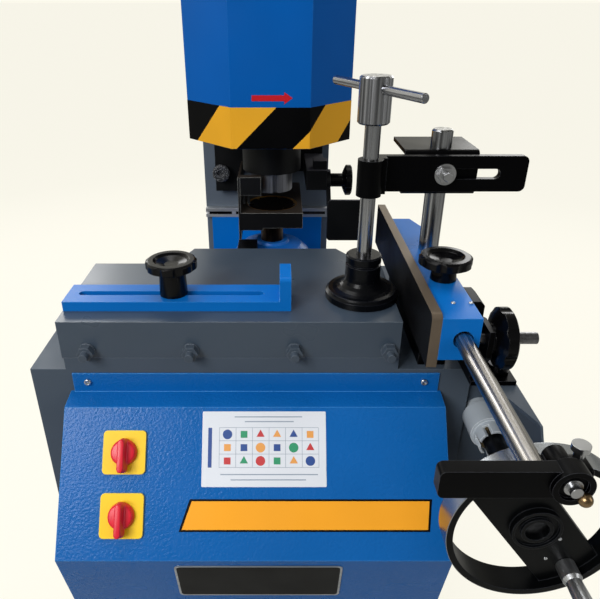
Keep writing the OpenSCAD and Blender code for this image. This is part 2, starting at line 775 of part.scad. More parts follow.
// Straight rack; a space stands under the pinion's lowest tooth at rest.
module feed_rack() color("#8a8f93") put(shaft_x, rack_y + rack_t, rack_pitch_z)
    rotate([90, 0, 0]) linear_extrude(rack_t) {
        pitch = PI * gear_m;
        slope = tan(pressure_a);
        root = -1.25 * gear_m;
        half = pitch / 4;
        left = rack_left - shaft_x;
        first = -ceil((head_travel + 14) / pitch);
        last = floor((rack_right - shaft_x - half - 3) / pitch);
        translate([left, rack_bottom_z - rack_pitch_z])
            square([rack_right - rack_left, rack_pitch_z - rack_bottom_z + root]);
        for (k = [first : last])
            translate([(k + 0.5) * pitch, 0]) polygon([
                [-half + root * slope, root - 0.1], [half - root * slope, root - 0.1],
                [half - root * slope, root],
                [half - gear_m * slope, gear_m], [-half + gear_m * slope, gear_m],
                [-half + root * slope, root]
            ]);
    }

// Two-spoke wheel: rim, slanting web and hub.
module handwheel() color("#141416") difference() {
    put(shaft_x, rim_front + rim_w, shaft_z) rotate([90, 0, 0]) {
        difference() {
            cylinder(d = wheel_d, h = rim_w);
            translate([0, 0, -1]) cylinder(d = wheel_d - 2 * rim_t, h = rim_w + 2);
        }
        translate([0, 0, 7]) intersection() {
            cylinder(d = wheel_d - rim_t, h = 12);
            rotate([0, 0, web_a]) translate([-wheel_d / 2, -web_w / 2, 0])
                cube([wheel_d, web_w, 12]);
        }
        translate([0, 0, -8]) difference() {
            cylinder(d = hub_d, h = 34);
            translate([0, 0, 31]) difference() {
                cylinder(d = hub_d - 6, h = 4);
                translate([0, 0, -1]) cylinder(d = shaft_d + 8, h = 6);
            }
        }
    }
    put(shaft_x, rim_front - 10, shaft_z) rod_along_y(shaft_d, 80);
    put(grip_x, rim_front - 10, grip_z) rod_along_y(pin_d, 80);
}

module grip_pin() color("#9aa0a5") put(grip_x, grip_front, grip_z) {
    rod_along_y(pin_d, rim_front + rim_w - 7 - grip_front);
    rod_along_y(13, 3);
}

// Revolving steel grip with a collar at its root.
module handwheel_grip() color("#c4c8cc") put(grip_x, grip_front + 3 + gap, grip_z)
    rotate([-90, 0, 0]) difference() {
        rotate_extrude() polygon([
            [0, 0], [7, 0], [8, 1.5], [9, 28], [8, 56], [grip_d / 2, 60], [grip_d / 2, grip_l], [0, grip_l]
        ]);
        translate([0, 0, -1]) cylinder(d = pin_d + 2 * run_fit, h = grip_l + 2);
    }

// Head
module pedestal() color("#3f474e") {
    difference() {
        span([post_left, pedestal_y, plinth_h],
             [post_right + 3, pedestal_y + pedestal_d, pedestal_z]);
        span([post_left + 6, pedestal_y + 6, plinth_h - 1],
             [post_right - 3, pedestal_y + pedestal_d - 6, pedestal_z - 12]);
    }
}

// Dovetail rail that the head slides along.
module cross_way() color("#a4a9ad") put(post_left, way_y, pedestal_z) rotate([90, 0, 90])
    linear_extrude(post_w)
        polygon([[-way_foot / 2, 0], [way_foot / 2, 0], [way_top / 2, way_h], [-way_top / 2, way_h]]);

// Polished plate under the post, with the dovetail groove and the gib slot.
module saddle_plate() color("#c9ccce") difference() {
    span([post_left, saddle_y, pedestal_z], [post_right, pedestal_y + pedestal_d - 8, saddle_z]);
    put(post_left - 1, way_y, pedestal_z) rotate([90, 0, 90]) linear_extrude(post_w + 2)
        polygon([
            [-way_foot / 2 - way_gap, -1], [way_foot / 2 + way_gap, -1],
            [way_foot / 2 + way_gap, 0], [way_top / 2 + way_gap, way_h + way_gap],
            [-way_top / 2 - way_gap, way_h + way_gap], [-way_foot / 2 - way_gap, 0]
        ]);
    span([post_left - 1, saddle_y - 1, pedestal_z + 6], [post_left + 24, saddle_y + 8, pedestal_z + 11]);
}

module post() color("#474f57") {
    difference() {
        span([post_left, post_y, saddle_z], [post_right, post_y + post_d, saddle_z + post_h]);
        span([post_left + 6, post_y + 6, saddle_z - 1],
             [post_right - 6, post_y + post_d - 6, saddle_z + post_h - 6]);
    }
}

function hood_outline(w) = [
    [-w / 2 + 75, hood_front], [w / 2 - 75, hood_front], [w / 2 - 6, hood_front + 73],
    [w / 2 - 6, post_y - 57], [post_right, post_y], [-w / 2, post_y], [-w / 2, hood_front + 79]
];

// Octagonal hood of folded sheet, open below and against the post.
module hood() color("#0054a5") {
    difference() {
        put(0, 0, hood_z) linear_extrude(hood_h) polygon(hood_outline(hood_w));
        put(0, 0, hood_z - 1) linear_extrude(hood_h - hood_t + 1)
            polygon([for (p = inset(hood_outline(hood_w), hood_t))
                p.y > post_y - 10 ? [p.x, post_y + 1] : p]);
    }
}

// Blue plate and ring that hang the lower motor from the saddle and carry the rack.
module motor_bracket() color("#1763b8") {
    span([post_left + 12, saddle_y, rack_bottom_z - 70], [post_right - 11, saddle_y + 12, pedestal_z]);
    difference() {
        union() {
            put(0, motor_y, rack_bottom_z) cylinder(d = ring_d, h = 20);
            span([-60, motor_y, rack_bottom_z], [60, saddle_y, rack_bottom_z + 20]);
            span([rack_left, rack_y + rack_t, rack_bottom_z],
                 [60, motor_y - 40, rack_bottom_z + 16]);
        }
        put(0, motor_y, rack_bottom_z - 1) cylinder(d = lower_motor_d, h = 40);
    }
}

// Flange motor: ribbed body, domed end shield and fan cover, from its shaft end down.
module lower_motor() color("#1763b8") put(0, motor_y, pedestal_z) difference() {
    union() {
        rotate_extrude() polygon([
            [0, -lower_motor_l], [lower_motor_d / 2 - 8, -lower_motor_l],
            [lower_motor_d / 2 - 2, 6 - lower_motor_l],
            [lower_motor_d / 2 - 2, 35 - lower_motor_l],
            [lower_motor_d / 2, 35 - lower_motor_l],
            [lower_motor_d / 2, -36], [lower_motor_d / 2 - 6, -22],
            [lower_motor_d / 2 - 20, -9], [32, -4], [30, 0], [0, 0]
        ]);
        put_box([-60, -88, -46], [-26, -40, 13]);
    }
    translate([0, 0, -40]) cylinder(d = lower_spindle_d + 2 * run_fit, h = 50);
}
module put_box(a, b) translate(a) cube(b - a);

// Plate under the work's end with its apron, side cheek and pressing shoe.
module cutter_platform() color("#26292c") {
    difference() {
        span([-54, head_y - 59, platform_z - 8], [55, post_y, platform_z]);
        put(0, head_y, platform_z - 10) cylinder(d = lower_cutter_d + 5, h = 20);
    }
    span([-54, head_y - 59, platform_z - 28], [55, head_y - 54, platform_z - 7]);
    span([-54, head_y - 59, platform_z - 32], [-15, head_y - 54, platform_z - 27]);
    for (x = [-54, 49]) span([x, head_y + 50, platform_z - 40], [x + 6, post_y, platform_z - 7]);
    span([-58, head_y - 59, platform_z - 50], [-54, head_y + 60, housing_z - 2]);
    span([-55, head_y - 57, housing_z - 34], [-18, head_y - 41, housing_z - 2]);
    for (x = [-48, -40]) put(x, head_y - 49, housing_z - 50) cylinder(d = 5, h = 17);
}

module upper_way() color("#a4a9ad") put(0, post_y, slide_z + 10) linear_extrude(way_rail_h)
    polygon([[-30, 0], [30, 0], [36, -11], [-36, -11]]);

// Casting that slides on the post: back plate, two housing clamps and the guard's block.
module upper_slide() color("#232629") {
    difference() {
        union() {
            span([-113, post_y - slide_t, slide_z], [98, post_y - gap, slide_z + slide_h]);
            span([-113, post_y - slide_t, slide_z - 40], [-68, post_y - gap, slide_z + 1]);
        }
        put(0, post_y, slide_z - 1) linear_extrude(slide_h + 2) polygon([
            [-30 - way_gap, 1], [-30 - way_gap, 0], [-36 - way_gap, -11 - way_gap],
            [36 + way_gap, -11 - way_gap], [30 + way_gap, 0], [30 + way_gap, 1]
        ]);
        put(lock_x, post_y - slide_t - 1, lock_z) rod_along_y(8 + 2 * run_fit, slide_t + 1);
    }
    difference() {
        union() for (z = [slide_z + 110, slide_z + 170]) {
            put(0, head_y, z) cylinder(d = housing_d + 26, h = 40);
            span([-40, head_y, z], [40, post_y - slide_t + 1, z + 40]);
        }
        put(0, head_y, slide_z) cylinder(d = housing_d, h = slide_h + 40);
    }
    difference() {
        union() {
            span([block_x, head_y - 20, slide_z], [block_x + block_w, post_y - slide_t + 1, slide_z + 35]);
            span([block_x + 12, head_y - 12, slide_z + 34], [block_x + block_w, head_y + 12, slide_z + 50]);
        }
        put(block_x + 8, head_y, guard_z) rod_along_x(12 + 2 * run_fit, 40);
    }
}

module spindle_housing() color("#1c1e20") put(0, head_y, housing_z) difference() {
    cylinder(d = housing_d, h = housing_h);
    translate([0, 0, -1]) cylinder(d = spindle_d + 2 * run_fit, h = housing_h + 2);
}

module upper_motor() color("#2a5f9e") put(0, head_y, housing_z + housing_h) difference() {
    union() {
        rotate_extrude() polygon([
            [0, 0], [upper_motor_d / 2 - 4, 0], [upper_motor_d / 2 - 4, 12],
            [upper_motor_d / 2 - 16, 22], [upper_motor_d / 2 - 12, 34],
            [upper_motor_d / 2 - 12, upper_motor_l - 46],
            [upper_motor_d / 2 - 2, upper_motor_l - 46],
            [upper_motor_d / 2 - 2, upper_motor_l - 8],
            [upper_motor_d / 2 - 14, upper_motor_l], [0, upper_motor_l]
        ]);
        translate([0, 0, 37]) linear_extrude(upper_motor_l - 90) {
            circle(upper_motor_d / 2 - 8);
            for (a = [0 : 15 : 345]) rotate(a)
                translate([upper_motor_d / 2 - 16, -1.5]) square([16, 3]);
        }
    }
    translate([0, 0, -1]) cylinder(d = spindle_d + 2 * gap, h = 31);
}

// Spindle with its cutter head; four knives stand in slots round the head.
module cutter_head(d, h, knives) {
    difference() {
        cylinder(d = d - 2, h = h);
        for (i = [0 : knives - 1]) rotate([0, 0, i * 360 / knives])
            translate([d / 2 - 9, 1.5, -1]) cube([10, 9, h + 2]);
    }
    for (i = [0 : knives - 1]) rotate([0, 0, i * 360 / knives])
        translate([d / 2 - 13, -2, 0.5]) cube([12.7, 4.2, h - 1]);
}

module upper_spindle() color("#9aa0a5") put(0, head_y, slide_z - 1) {
    cutter_head(upper_cutter_d, housing_z - gap - slide_z + 1, 4);
    cylinder(d = spindle_d, h = housing_z + housing_h + 28 - slide_z);
    translate([0, 0, -6]) hex_head(24, 7);
}

module lower_spindle() color("#8f7a55") put(0, motor_y, pedestal_z) {
    translate([0, 0, -38]) cylinder(d = lower_spindle_d, h = platform_z - pedestal_z + 14);
    translate([0, 0, platform_z - pedestal_z - 25]) cutter_head(lower_cutter_d, 24, 6);
}

// Chip guard on a swinging arm.
module cutter_guard() color("#17181a") {
    difference() {
        union() {
            put(guard_hub_x, head_y, guard_z) rod_along_x(38, 7);
            put(guard_hub_x, head_y, guard_z) rotate([90 + guard_arm_a, 0, 0])
                translate([0, -6, 0]) cube([7, 12, guard_arm_l + 8]);
        }
        put(guard_hub_x - 1, head_y, guard_z) rod_along_x(guard_shaft_d + 2 * run_fit, 9);
    }
    put(guard_hub_x + 36, head_y - 50, guard_z - 58) rotate([90, 0, 0])
        linear_extrude(6) round_rect(72, 74, 6);
}

module guard_knob() color("#17181a") put(block_x + block_w + gap, head_y, guard_z)
    rotate([0, 90, 0]) {
        translate([0, 0, -26]) cylinder(d = 12, h = 28);
        cylinder(d = guard_shaft_d, h = 34);
        translate([0, 0, 12]) star_knob(54, guard_shaft_d, 20, 13, 8, 20, 1);
    }

module slide_lock_knob() color("#2b2b2e") put(lock_x, post_y - slide_t - gap, lock_z)
    rotate([90, 0, 0]) star_knob(34, 18, 14, 10, 7, 8, slide_t - 2);

base_plinth();
base_cabinet();
shaft_box();
console_cover();
switch_plates();
switch_bodies();
table();
table_bolts();
fence_riser();
fence_bracket();
fence_bracket_bolt();
fence_plate();
fence_bar();
fence_pad();
fence_stud();
shaft_sleeve();
shaft_bushes();
rack_guide();
pedestal();
cross_way();
side_stop();
side_stop_knob();
rod_lock_knob();
fence_star_nut();
clamp_column();
clamp_bracket();
clamp_bolt();
clamp_arm();
clamp_foot();
clamp_screw();
clamp_tee_head();
clamp_tommy_bar();
stop_rod();
stop_collar();
stop_pivot();
stop_arm();
stop_thumb_bolt();
feed_shaft();
feed_pinion();
handwheel();
grip_pin();
handwheel_grip();
saddle_plate();
post();
hood();
motor_bracket();
feed_rack();
lower_motor();
cutter_platform();
upper_way();
upper_slide();
spindle_housing();
upper_motor();
cutter_guard();
guard_knob();
slide_lock_knob();
upper_spindle();
lower_spindle();
upper_switch_knob();
lower_switch_knob();
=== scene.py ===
"""Looks of a tenoning machine: its enamels, bare steels, plates and stripes over the CAD frame.

Sizes are millimetres in the machine's own frame: X to the right of the cutters, Y back from the
cabinet's front face, Z up from the floor. spot() turns them into Blender's metres.
"""

import math

import bmesh
import bpy
from mathutils import Matrix, Vector


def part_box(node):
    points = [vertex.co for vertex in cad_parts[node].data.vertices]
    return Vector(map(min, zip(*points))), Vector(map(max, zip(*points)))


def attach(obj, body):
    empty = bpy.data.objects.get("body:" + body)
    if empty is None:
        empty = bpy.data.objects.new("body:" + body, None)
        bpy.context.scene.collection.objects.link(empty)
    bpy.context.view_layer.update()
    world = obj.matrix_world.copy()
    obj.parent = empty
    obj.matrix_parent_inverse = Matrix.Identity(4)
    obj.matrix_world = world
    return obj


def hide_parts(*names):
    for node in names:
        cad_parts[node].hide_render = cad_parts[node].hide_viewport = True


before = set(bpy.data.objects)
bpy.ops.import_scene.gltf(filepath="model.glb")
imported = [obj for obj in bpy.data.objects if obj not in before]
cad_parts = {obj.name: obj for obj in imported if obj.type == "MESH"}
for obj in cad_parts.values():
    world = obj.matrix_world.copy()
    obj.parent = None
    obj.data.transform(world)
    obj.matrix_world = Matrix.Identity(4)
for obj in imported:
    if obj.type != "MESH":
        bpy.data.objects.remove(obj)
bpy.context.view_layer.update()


# Camera
# The eye stands in front of the fence side of the table and looks 27 degrees down. Its height,
# tilt and focal length come from the vanishing points of the table and the hood.
BASE_MIDDLE_X, BASE_MIDDLE_Y = -21.0, 385.0
FOCAL_PIXELS, PICTURE_WIDTH, SIDE_SHIFT_PIXELS, FILM_MM = 584, 600, 22, 36
EYE, TILT_DOWN = (11.3, -590, 1180), 27


def spot(x, y, z):
    """A place on the machine, in metres about the base's middle."""
    return Vector(((x - BASE_MIDDLE_X) / 1000, (y - BASE_MIDDLE_Y) / 1000, z / 1000))


camera = bpy.data.objects.new("camera", bpy.data.cameras.new("camera"))
camera.data.sensor_width = FILM_MM
camera.data.lens = FOCAL_PIXELS * FILM_MM / PICTURE_WIDTH
camera.data.shift_x = SIDE_SHIFT_PIXELS / PICTURE_WIDTH
camera.data.clip_start, camera.data.clip_end = 0.01, 2000
camera.location = spot(*EYE)
camera.rotation_euler = (math.radians(90 - TILT_DOWN), 0, 0)
bpy.context.collection.objects.link(camera)
bpy.context.scene.camera = camera


# Cabinet, plinth, shaft box and pedestal
# Folded and welded sheet steel, sprayed with a grey alkyd enamel that dries with a light
# orange peel. The paint thins along the folds, and they are drawn paler, as worn paint and as a
# painted highlight.
def linear(hex_colour):
    """An sRGB "#rrggbb" colour as linear red, green, blue and alpha."""
    parts = [int(hex_colour[i:i + 2], 16) / 255 for i in (1, 3, 5)]
    return [c / 12.92 if c <= 0.04045 else ((c + 0.055) / 1.055) ** 2.4 for c in parts] + [1.0]


def add(tree, kind, sockets=None, **settings):
    """Adds a node: sockets gives its inputs values or the outputs that feed them."""
    node = tree.nodes.new(kind)
    for name, value in settings.items():
        setattr(node, name, value)
    for name, value in (sockets or {}).items():
        if isinstance(value, bpy.types.NodeSocket):
            tree.links.new(value, node.inputs[name])
        else:
            node.inputs[name].default_value = value
    return node.outputs


def bare_material(name):
    """A new material, with its node tree and its shader."""
    mat = bpy.data.materials.new(name)
    mat.use_nodes = True
    return mat, mat.node_tree, mat.node_tree.nodes["Principled BSDF"]


def enamel(name, colour, rough, peel_mm, peel_depth_mm, edge_wear_and_highlight=None, coat=0.0, shine=0.5,
           edge_mm=0.8):
    """Sprayed paint. Its bumps are peel_mm wide, and within edge_mm of an edge it takes the
    given edge colour, which stands for thin, worn paint and also for a painted highlight along
    the edge. Its tone drifts in clouds, and its gloss in smears where hands and rags have been."""
    cloud_mm, smear_mm, uneven = 140.0, 60.0, 0.07
    mat, tree, shader = bare_material(name)
    place = add(tree, "ShaderNodeTexCoord")["Object"]
    cloud = add(tree, "ShaderNodeTexNoise", {"Vector": place, "Scale": 1000 / cloud_mm,
                                             "Detail": 2.0})["Fac"]
    tone = add(tree, "ShaderNodeMapRange", {"Value": cloud, "From Min": 0.25, "From Max": 0.75,
                                            "To Min": 1 - uneven, "To Max": 1 + uneven})["Result"]
    tint = add(tree, "ShaderNodeHueSaturation", {"Color": linear(colour), "Value": tone})["Color"]
    soft = add(tree, "ShaderNodeBevel", {"Radius": edge_mm / 1000}, samples=4)["Normal"]
    # The edge colour is worn paint and also a painted highlight along each edge.
    if edge_wear_and_highlight:
        flat = add(tree, "ShaderNodeNewGeometry")["Normal"]
        agree = add(tree, "ShaderNodeVectorMath", {0: soft, 1: flat},
                    operation="DOT_PRODUCT")["Value"]
        rim = add(tree, "ShaderNodeMapRange", {"Value": agree, "From Min": 0.985,
                                               "From Max": 0.88})["Result"]
        tint = add(tree, "ShaderNodeMix", {0: rim, 6: tint, 7: linear(edge_wear_and_highlight)},
                   data_type="RGBA")[2]
    tree.links.new(tint, shader.inputs["Base Color"])
    smear = add(tree, "ShaderNodeTexNoise", {"Vector": place, "Scale": 1000 / smear_mm,
                                             "Detail": 2.0})["Fac"]
    dull = add(tree, "ShaderNodeMapRange", {"Value": smear, "From Min": 0.25, "From Max": 0.75,
                                            "To Min": rough * 0.85,
                                            "To Max": rough * 1.2})["Result"]
    tree.links.new(dull, shader.inputs["Roughness"])
    grain = add(tree, "ShaderNodeTexNoise", {"Vector": place, "Scale": 1000 / peel_mm,
                                             "Detail": 2.0})["Fac"]
    rough_skin = add(tree, "ShaderNodeBump", {"Height": grain, "Normal": soft, "Strength": 0.7,
                                              "Distance": peel_depth_mm / 1000})["Normal"]
    tree.links.new(rough_skin, shader.inputs["Normal"])
    shader.inputs["Coat Weight"].default_value = coat
    shader.inputs["Coat Roughness"].default_value = 0.1
    shader.inputs["Specular IOR Level"].default_value = shine
    return mat


def dress(material, *nodes):
    """Gives CAD pieces a material, over all their faces."""
    for name in nodes:
        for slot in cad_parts[name].material_slots:
            slot.material = material


# Sprayed enamel: a flat slate grey that hardly shines, drawn paler along the folds as worn
# paint and a painted highlight.
grey_enamel = enamel("grey_enamel_on_sheet_steel", "#4a545f", rough=0.5, peel_mm=2.2,
                     peel_depth_mm=0.03, edge_wear_and_highlight="#6c7680", shine=0.2)
# The same paint on the post and pedestal, drawn a shade paler as painted light against the
# hood's shade, and a little glossier.
lit_post_enamel = enamel("lit_grey_enamel_on_post", "#5f6975", rough=0.4, peel_mm=2.2,
                     peel_depth_mm=0.03, edge_wear_and_highlight="#8a939d", shine=0.3)
dress(grey_enamel, "base_plinth", "base_cabinet", "shaft_box", "rack_guide")
dress(lit_post_enamel, "post", "pedestal")


# Table
# A planed iron casting under a smoother, glossier grey. Its studs and nuts were painted over
# with it, so they keep its colour, and its planed edges are drawn paler, as bare metal and as
# a painted highlight.

# Gloss enamel: darker, with broad soft reflections of what stands on it.
table_enamel = enamel("gloss_grey_enamel_on_cast_iron", "#3d4956", rough=0.3, peel_mm=4.0,
                      peel_depth_mm=0.02, edge_wear_and_highlight="#7d868e", shine=0.5, edge_mm=1.2)
# The same gloss, thick over threads and nuts, with short highlights on rounded edges.
nut_enamel = enamel("grey_enamel_on_nuts", "#414b56", rough=0.35, peel_mm=2.0, peel_depth_mm=0.02,
                    edge_wear_and_highlight="#717a84", shine=0.4)
dress(table_enamel, "table")
dress(nut_enamel, "table_bolts")


# Side stop
# A milled flat bar with its upright, in a glossier mid blue, clamped by a moulded phenolic
# star knob, which is nearly black and has a hard shine on the crests of its lobes.

# Gloss enamel on milled faces: flat bright blue between thin pale edges, which are worn
# paint and a painted highlight.
bar_enamel = enamel("mid_blue_enamel_on_milled_steel", "#0a6abb", rough=0.3, peel_mm=3.0,
                    peel_depth_mm=0.01, edge_wear_and_highlight="#3f93dc", shine=0.12)
# Moulded phenolic: nearly black, with small hard highlights.
knob_phenolic = enamel("black_phenolic_moulding", "#050506", rough=0.2, peel_mm=3.0,
                       peel_depth_mm=0.01, edge_wear_and_highlight="#0e0e10", shine=0.2, edge_mm=1.2)
dress(bar_enamel, "side_stop", "fence_bar")
dress(knob_phenolic, "side_stop_knob", "rod_lock_knob", "fence_star_nut", "guard_knob",
      "switch_bodies")


# Fence
# A black oxidised plate whose top and front end were milled afterwards and show warm bare
# steel. It hangs on a blue bar with two small bright screws, beside a black angle and pad.
def steel(name, colour, rough, run, streak_and_reflection=0.25, band_mm=4.0, line_mm=0.8, line_depth_mm=0.01,
          edge_mm=0.6):
    """Bare steel. Tool marks are bands and lines that are band_mm and line_mm wide; run makes
    them longer along an axis, where it is less than 1. The bands' light and dark tone is also a
    painted reflection of the room. Real marks lie a few hundredths of a millimetre apart, so
    they are drawn coarser to show."""
    mat, tree, shader = bare_material(name)
    place = add(tree, "ShaderNodeTexCoord")["Object"]
    stretched = add(tree, "ShaderNodeMapping", {"Vector": place, "Scale": run})["Vector"]
    bands = add(tree, "ShaderNodeTexNoise", {"Vector": stretched, "Scale": 1000 / band_mm,
                                             "Detail": 2.0})["Fac"]
    # Light and dark bands in the colour: tool marks, and also painted reflections of the room.
    tone = add(tree, "ShaderNodeMapRange", {"Value": bands, "From Min": 0.34, "From Max": 0.66,
                                            "To Min": 1 - streak_and_reflection, "To Max": 1 + streak_and_reflection})["Result"]
    tint = add(tree, "ShaderNodeHueSaturation", {"Color": linear(colour), "Value": tone})["Color"]
    tree.links.new(tint, shader.inputs["Base Color"])
    lines = add(tree, "ShaderNodeTexNoise", {"Vector": stretched, "Scale": 1000 / line_mm,
                                             "Detail": 2.0})["Fac"]
    dull = add(tree, "ShaderNodeMapRange", {"Value": lines, "From Min": 0.3, "From Max": 0.7,
                                            "To Min": rough * (1 - streak_and_reflection / 2),
                                            "To Max": rough * (1 + streak_and_reflection)})["Result"]
    tree.links.new(dull, shader.inputs["Roughness"])
    soft = add(tree, "ShaderNodeBevel", {"Radius": edge_mm / 1000}, samples=4)["Normal"]
    marks = add(tree, "ShaderNodeBump", {"Height": lines, "Normal": soft, "Strength": 0.5,
                                         "Distance": line_depth_mm / 1000})["Normal"]
    tree.links.new(marks, shader.inputs["Normal"])
    shader.inputs["Metallic"].default_value = 1.0
    return mat


def inside(tree, low, high):
    """1 inside a box whose corners are given in the machine's millimetres."""
    low, high = spot(*low), spot(*high)
    place = add(tree, "ShaderNodeTexCoord")["Object"]
    away = add(tree, "ShaderNodeVectorMath", {0: place, 1: (low + high) / 2},
               operation="SUBTRACT")["Vector"]
    away = add(tree, "ShaderNodeVectorMath", {0: away}, operation="ABSOLUTE")["Vector"]
    share = add(tree, "ShaderNodeVectorMath", {0: away, 1: (high - low) / 2},
                operation="DIVIDE")["Vector"]
    parts = add(tree, "ShaderNodeSeparateXYZ", {"Vector": share})
    most = add(tree, "ShaderNodeMath", {0: parts["X"], 1: parts["Y"]},
               operation="MAXIMUM")["Value"]
    most = add(tree, "ShaderNodeMath", {0: most, 1: parts["Z"]}, operation="MAXIMUM")["Value"]
    return add(tree, "ShaderNodeMath", {0: most, 1: 1.0}, operation="LESS_THAN")["Value"]


def over(mat, mask, colour, metallic=None, rough=None):
    """Lays a second finish over a material where mask is 1."""
    tree, shader = mat.node_tree, mat.node_tree.nodes["Principled BSDF"]
    base = shader.inputs["Base Color"].links[0].from_socket
    tint = add(tree, "ShaderNodeMix", {0: mask, 6: base, 7: linear(colour)}, data_type="RGBA")[2]
    tree.links.new(tint, shader.inputs["Base Color"])
    if metallic is not None:
        start = shader.inputs["Metallic"].default_value
        metal = add(tree, "ShaderNodeMapRange", {"Value": mask, "To Min": start,
                                                 "To Max": metallic})["Result"]
        tree.links.new(metal, shader.inputs["Metallic"])
    if rough is not None:
        first = shader.inputs["Roughness"].links[0].from_socket
        dull = add(tree, "ShaderNodeMix", {0: mask, 2: first, 3: rough})[0]
        tree.links.new(dull, shader.inputs["Roughness"])


# Satin enamel: a deep black without a mirror, and a thin grey line along each edge, worn paint
# and a painted highlight.
black_enamel = enamel("black_satin_enamel", "#030304", rough=0.32, peel_mm=2.6,
                      peel_depth_mm=0.02, edge_wear_and_highlight="#4a4b4f", shine=0.06, edge_mm=0.6)
# Hot black oxide: dull and dark, so that the milled faces stand out warm and bare.
oxide_black = enamel("black_oxidised_steel", "#0c0c0e", rough=0.42, peel_mm=3.0,
                     peel_depth_mm=0.01, shine=0.15)
tree = oxide_black.node_tree
facing = add(tree, "ShaderNodeTexCoord")["Normal"]
upward = add(tree, "ShaderNodeVectorMath", {0: facing, 1: (0, -0.7, 0.7)},
             operation="DOT_PRODUCT")["Value"]
milled = add(tree, "ShaderNodeMath", {0: upward, 1: 0.5}, operation="GREATER_THAN")["Value"]
over(oxide_black, milled, "#716455", metallic=0.5, rough=0.4)
dress(oxide_black, "fence_plate")
dress(black_enamel, "fence_riser", "fence_bracket", "fence_pad")
# Zinc plate: an even mid grey with a soft, broad highlight.
stud_steel = steel("zinc_plated_stud", "#77777a", rough=0.3, run=(1, 1, 1))
# Blackened steel: dark and smooth, bright only where it faces a lamp.
blackened_bolt = steel("blackened_bolt", "#1b1b1e", rough=0.22, run=(1, 1, 1), streak_and_reflection=0.15,
                       edge_mm=1.0)
dress(stud_steel, "fence_stud")
dress(blackened_bolt, "fence_bracket_bolt")


def piece(name, bm, materials, body, smooth=None):
    """Makes a mesh into a named piece that rides on a body of the machine."""
    bmesh.ops.recalc_face_normals(bm, faces=bm.faces[:])
    mesh = bpy.data.meshes.new(name)
    bm.to_mesh(mesh)
    bm.free()
    if smooth:
        mesh.shade_smooth()
        mesh.set_sharp_from_angle(angle=math.radians(smooth))
    for material in materials:
        mesh.materials.append(material)
    obj = bpy.data.objects.new(name, mesh)
    bpy.context.collection.objects.link(obj)
    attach(obj, body)
    return obj


def looking(place, direction):
    """A frame at a place with Z along a direction."""
    turn = Vector(direction).to_track_quat("Z", "Y")
    return Matrix.Translation(place) @ turn.to_matrix().to_4x4()


def dome_screw(bm, at_frame, d, h):
    """A pan-head screw: a drum whose top edge is bevelled round and whose drive is sunk in."""
    sides, rounding, drive_wall, drive_depth = 24, h / 1.8, d / 4.5, h / 2.5
    made = bmesh.ops.create_cone(bm, cap_ends=True, segments=sides, radius1=d / 2000,
                                 radius2=d / 2000, depth=h / 1000,
                                 matrix=at_frame @ Matrix.Translation((0, 0, h / 2000)))
    up = at_frame.to_3x3() @ Vector((0, 0, 1))
    faces = {face for vert in made["verts"] for face in vert.link_faces}
    top = max(faces, key=lambda face: face.calc_center_median().dot(up))
    bmesh.ops.bevel(bm, geom=top.edges[:], offset=rounding / 1000, offset_type="OFFSET",
                    affect="EDGES", segments=4, profile=0.5, material=-1)
    faces = {face for face in bm.faces if len(face.verts) == sides}
    top = max(faces, key=lambda face: face.calc_center_median().dot(up))
    bmesh.ops.inset_region(bm, faces=[top], thickness=drive_wall / 1000)
    bmesh.ops.translate(bm, verts=top.verts[:], vec=-up * drive_depth / 1000)


# Bright zinc: small light dots with a clear rim.
bright_zinc = steel("bright_zinc_screw", "#c9ccd0", rough=0.25, run=(1, 1, 1), streak_and_reflection=0.04,
                    band_mm=12.0, line_mm=0.8, line_depth_mm=0.002)
bm = bmesh.new()
for x in (197, 216):
    dome_screw(bm, looking(spot(x, -40, 895), (0, 0, 1)), d=5.0, h=1.6)
piece("fence_bar_screws", bm, [bright_zinc], "frame", smooth=35)


# Work clamp
# Column, screw, cross head and tommy bar are turned or drawn bright steel, with dark lines
# along the drawing direction, both drawing marks and painted reflections. Bracket and arm are
# satin black, the foot is oiled black iron.

# Drawn bar: long dark and light streaks, drawing marks and painted reflections, under a sharp
# highlight.
drawn_steel = steel("drawn_steel_bar", "#a2a3a6", rough=0.2, run=(1, 1, 0.004), streak_and_reflection=0.6)
# Turned steel: stronger dark bands, painted reflections of the dim side of the room.
turned_head = steel("turned_steel_head", "#a6a7ab", rough=0.24, run=(1, 1, 0.004), streak_and_reflection=0.7,
                    band_mm=4.0)
# Polished rod: the smoothest steel here, with one clean bright line.
tommy_steel = steel("polished_steel_rod", "#9a9b9f", rough=0.18, run=(0.05, 0.05, 1), streak_and_reflection=0.3)
# Bright bolts: hardly a mark, so that each face has its own even tone.
bolt_steel = steel("bright_steel_bolt", "#b4b5b7", rough=0.28, run=(1, 1, 1), streak_and_reflection=0.04,
                   band_mm=12.0, line_mm=0.8, line_depth_mm=0.002)
# Oiled iron: a slick, slightly blue black.
oiled_iron = enamel("oiled_black_iron", "#06070a", rough=0.27, peel_mm=2.0, peel_depth_mm=0.02,
                    edge_wear_and_highlight="#262830", shine=0.16, edge_mm=1.2)
dress(drawn_steel, "clamp_column", "clamp_screw")
dress(turned_head, "clamp_tee_head")
dress(tommy_steel, "clamp_tommy_bar")
dress(bolt_steel, "clamp_bolt")
dress(black_enamel, "clamp_bracket", "clamp_arm")
dress(oiled_iron, "clamp_foot")

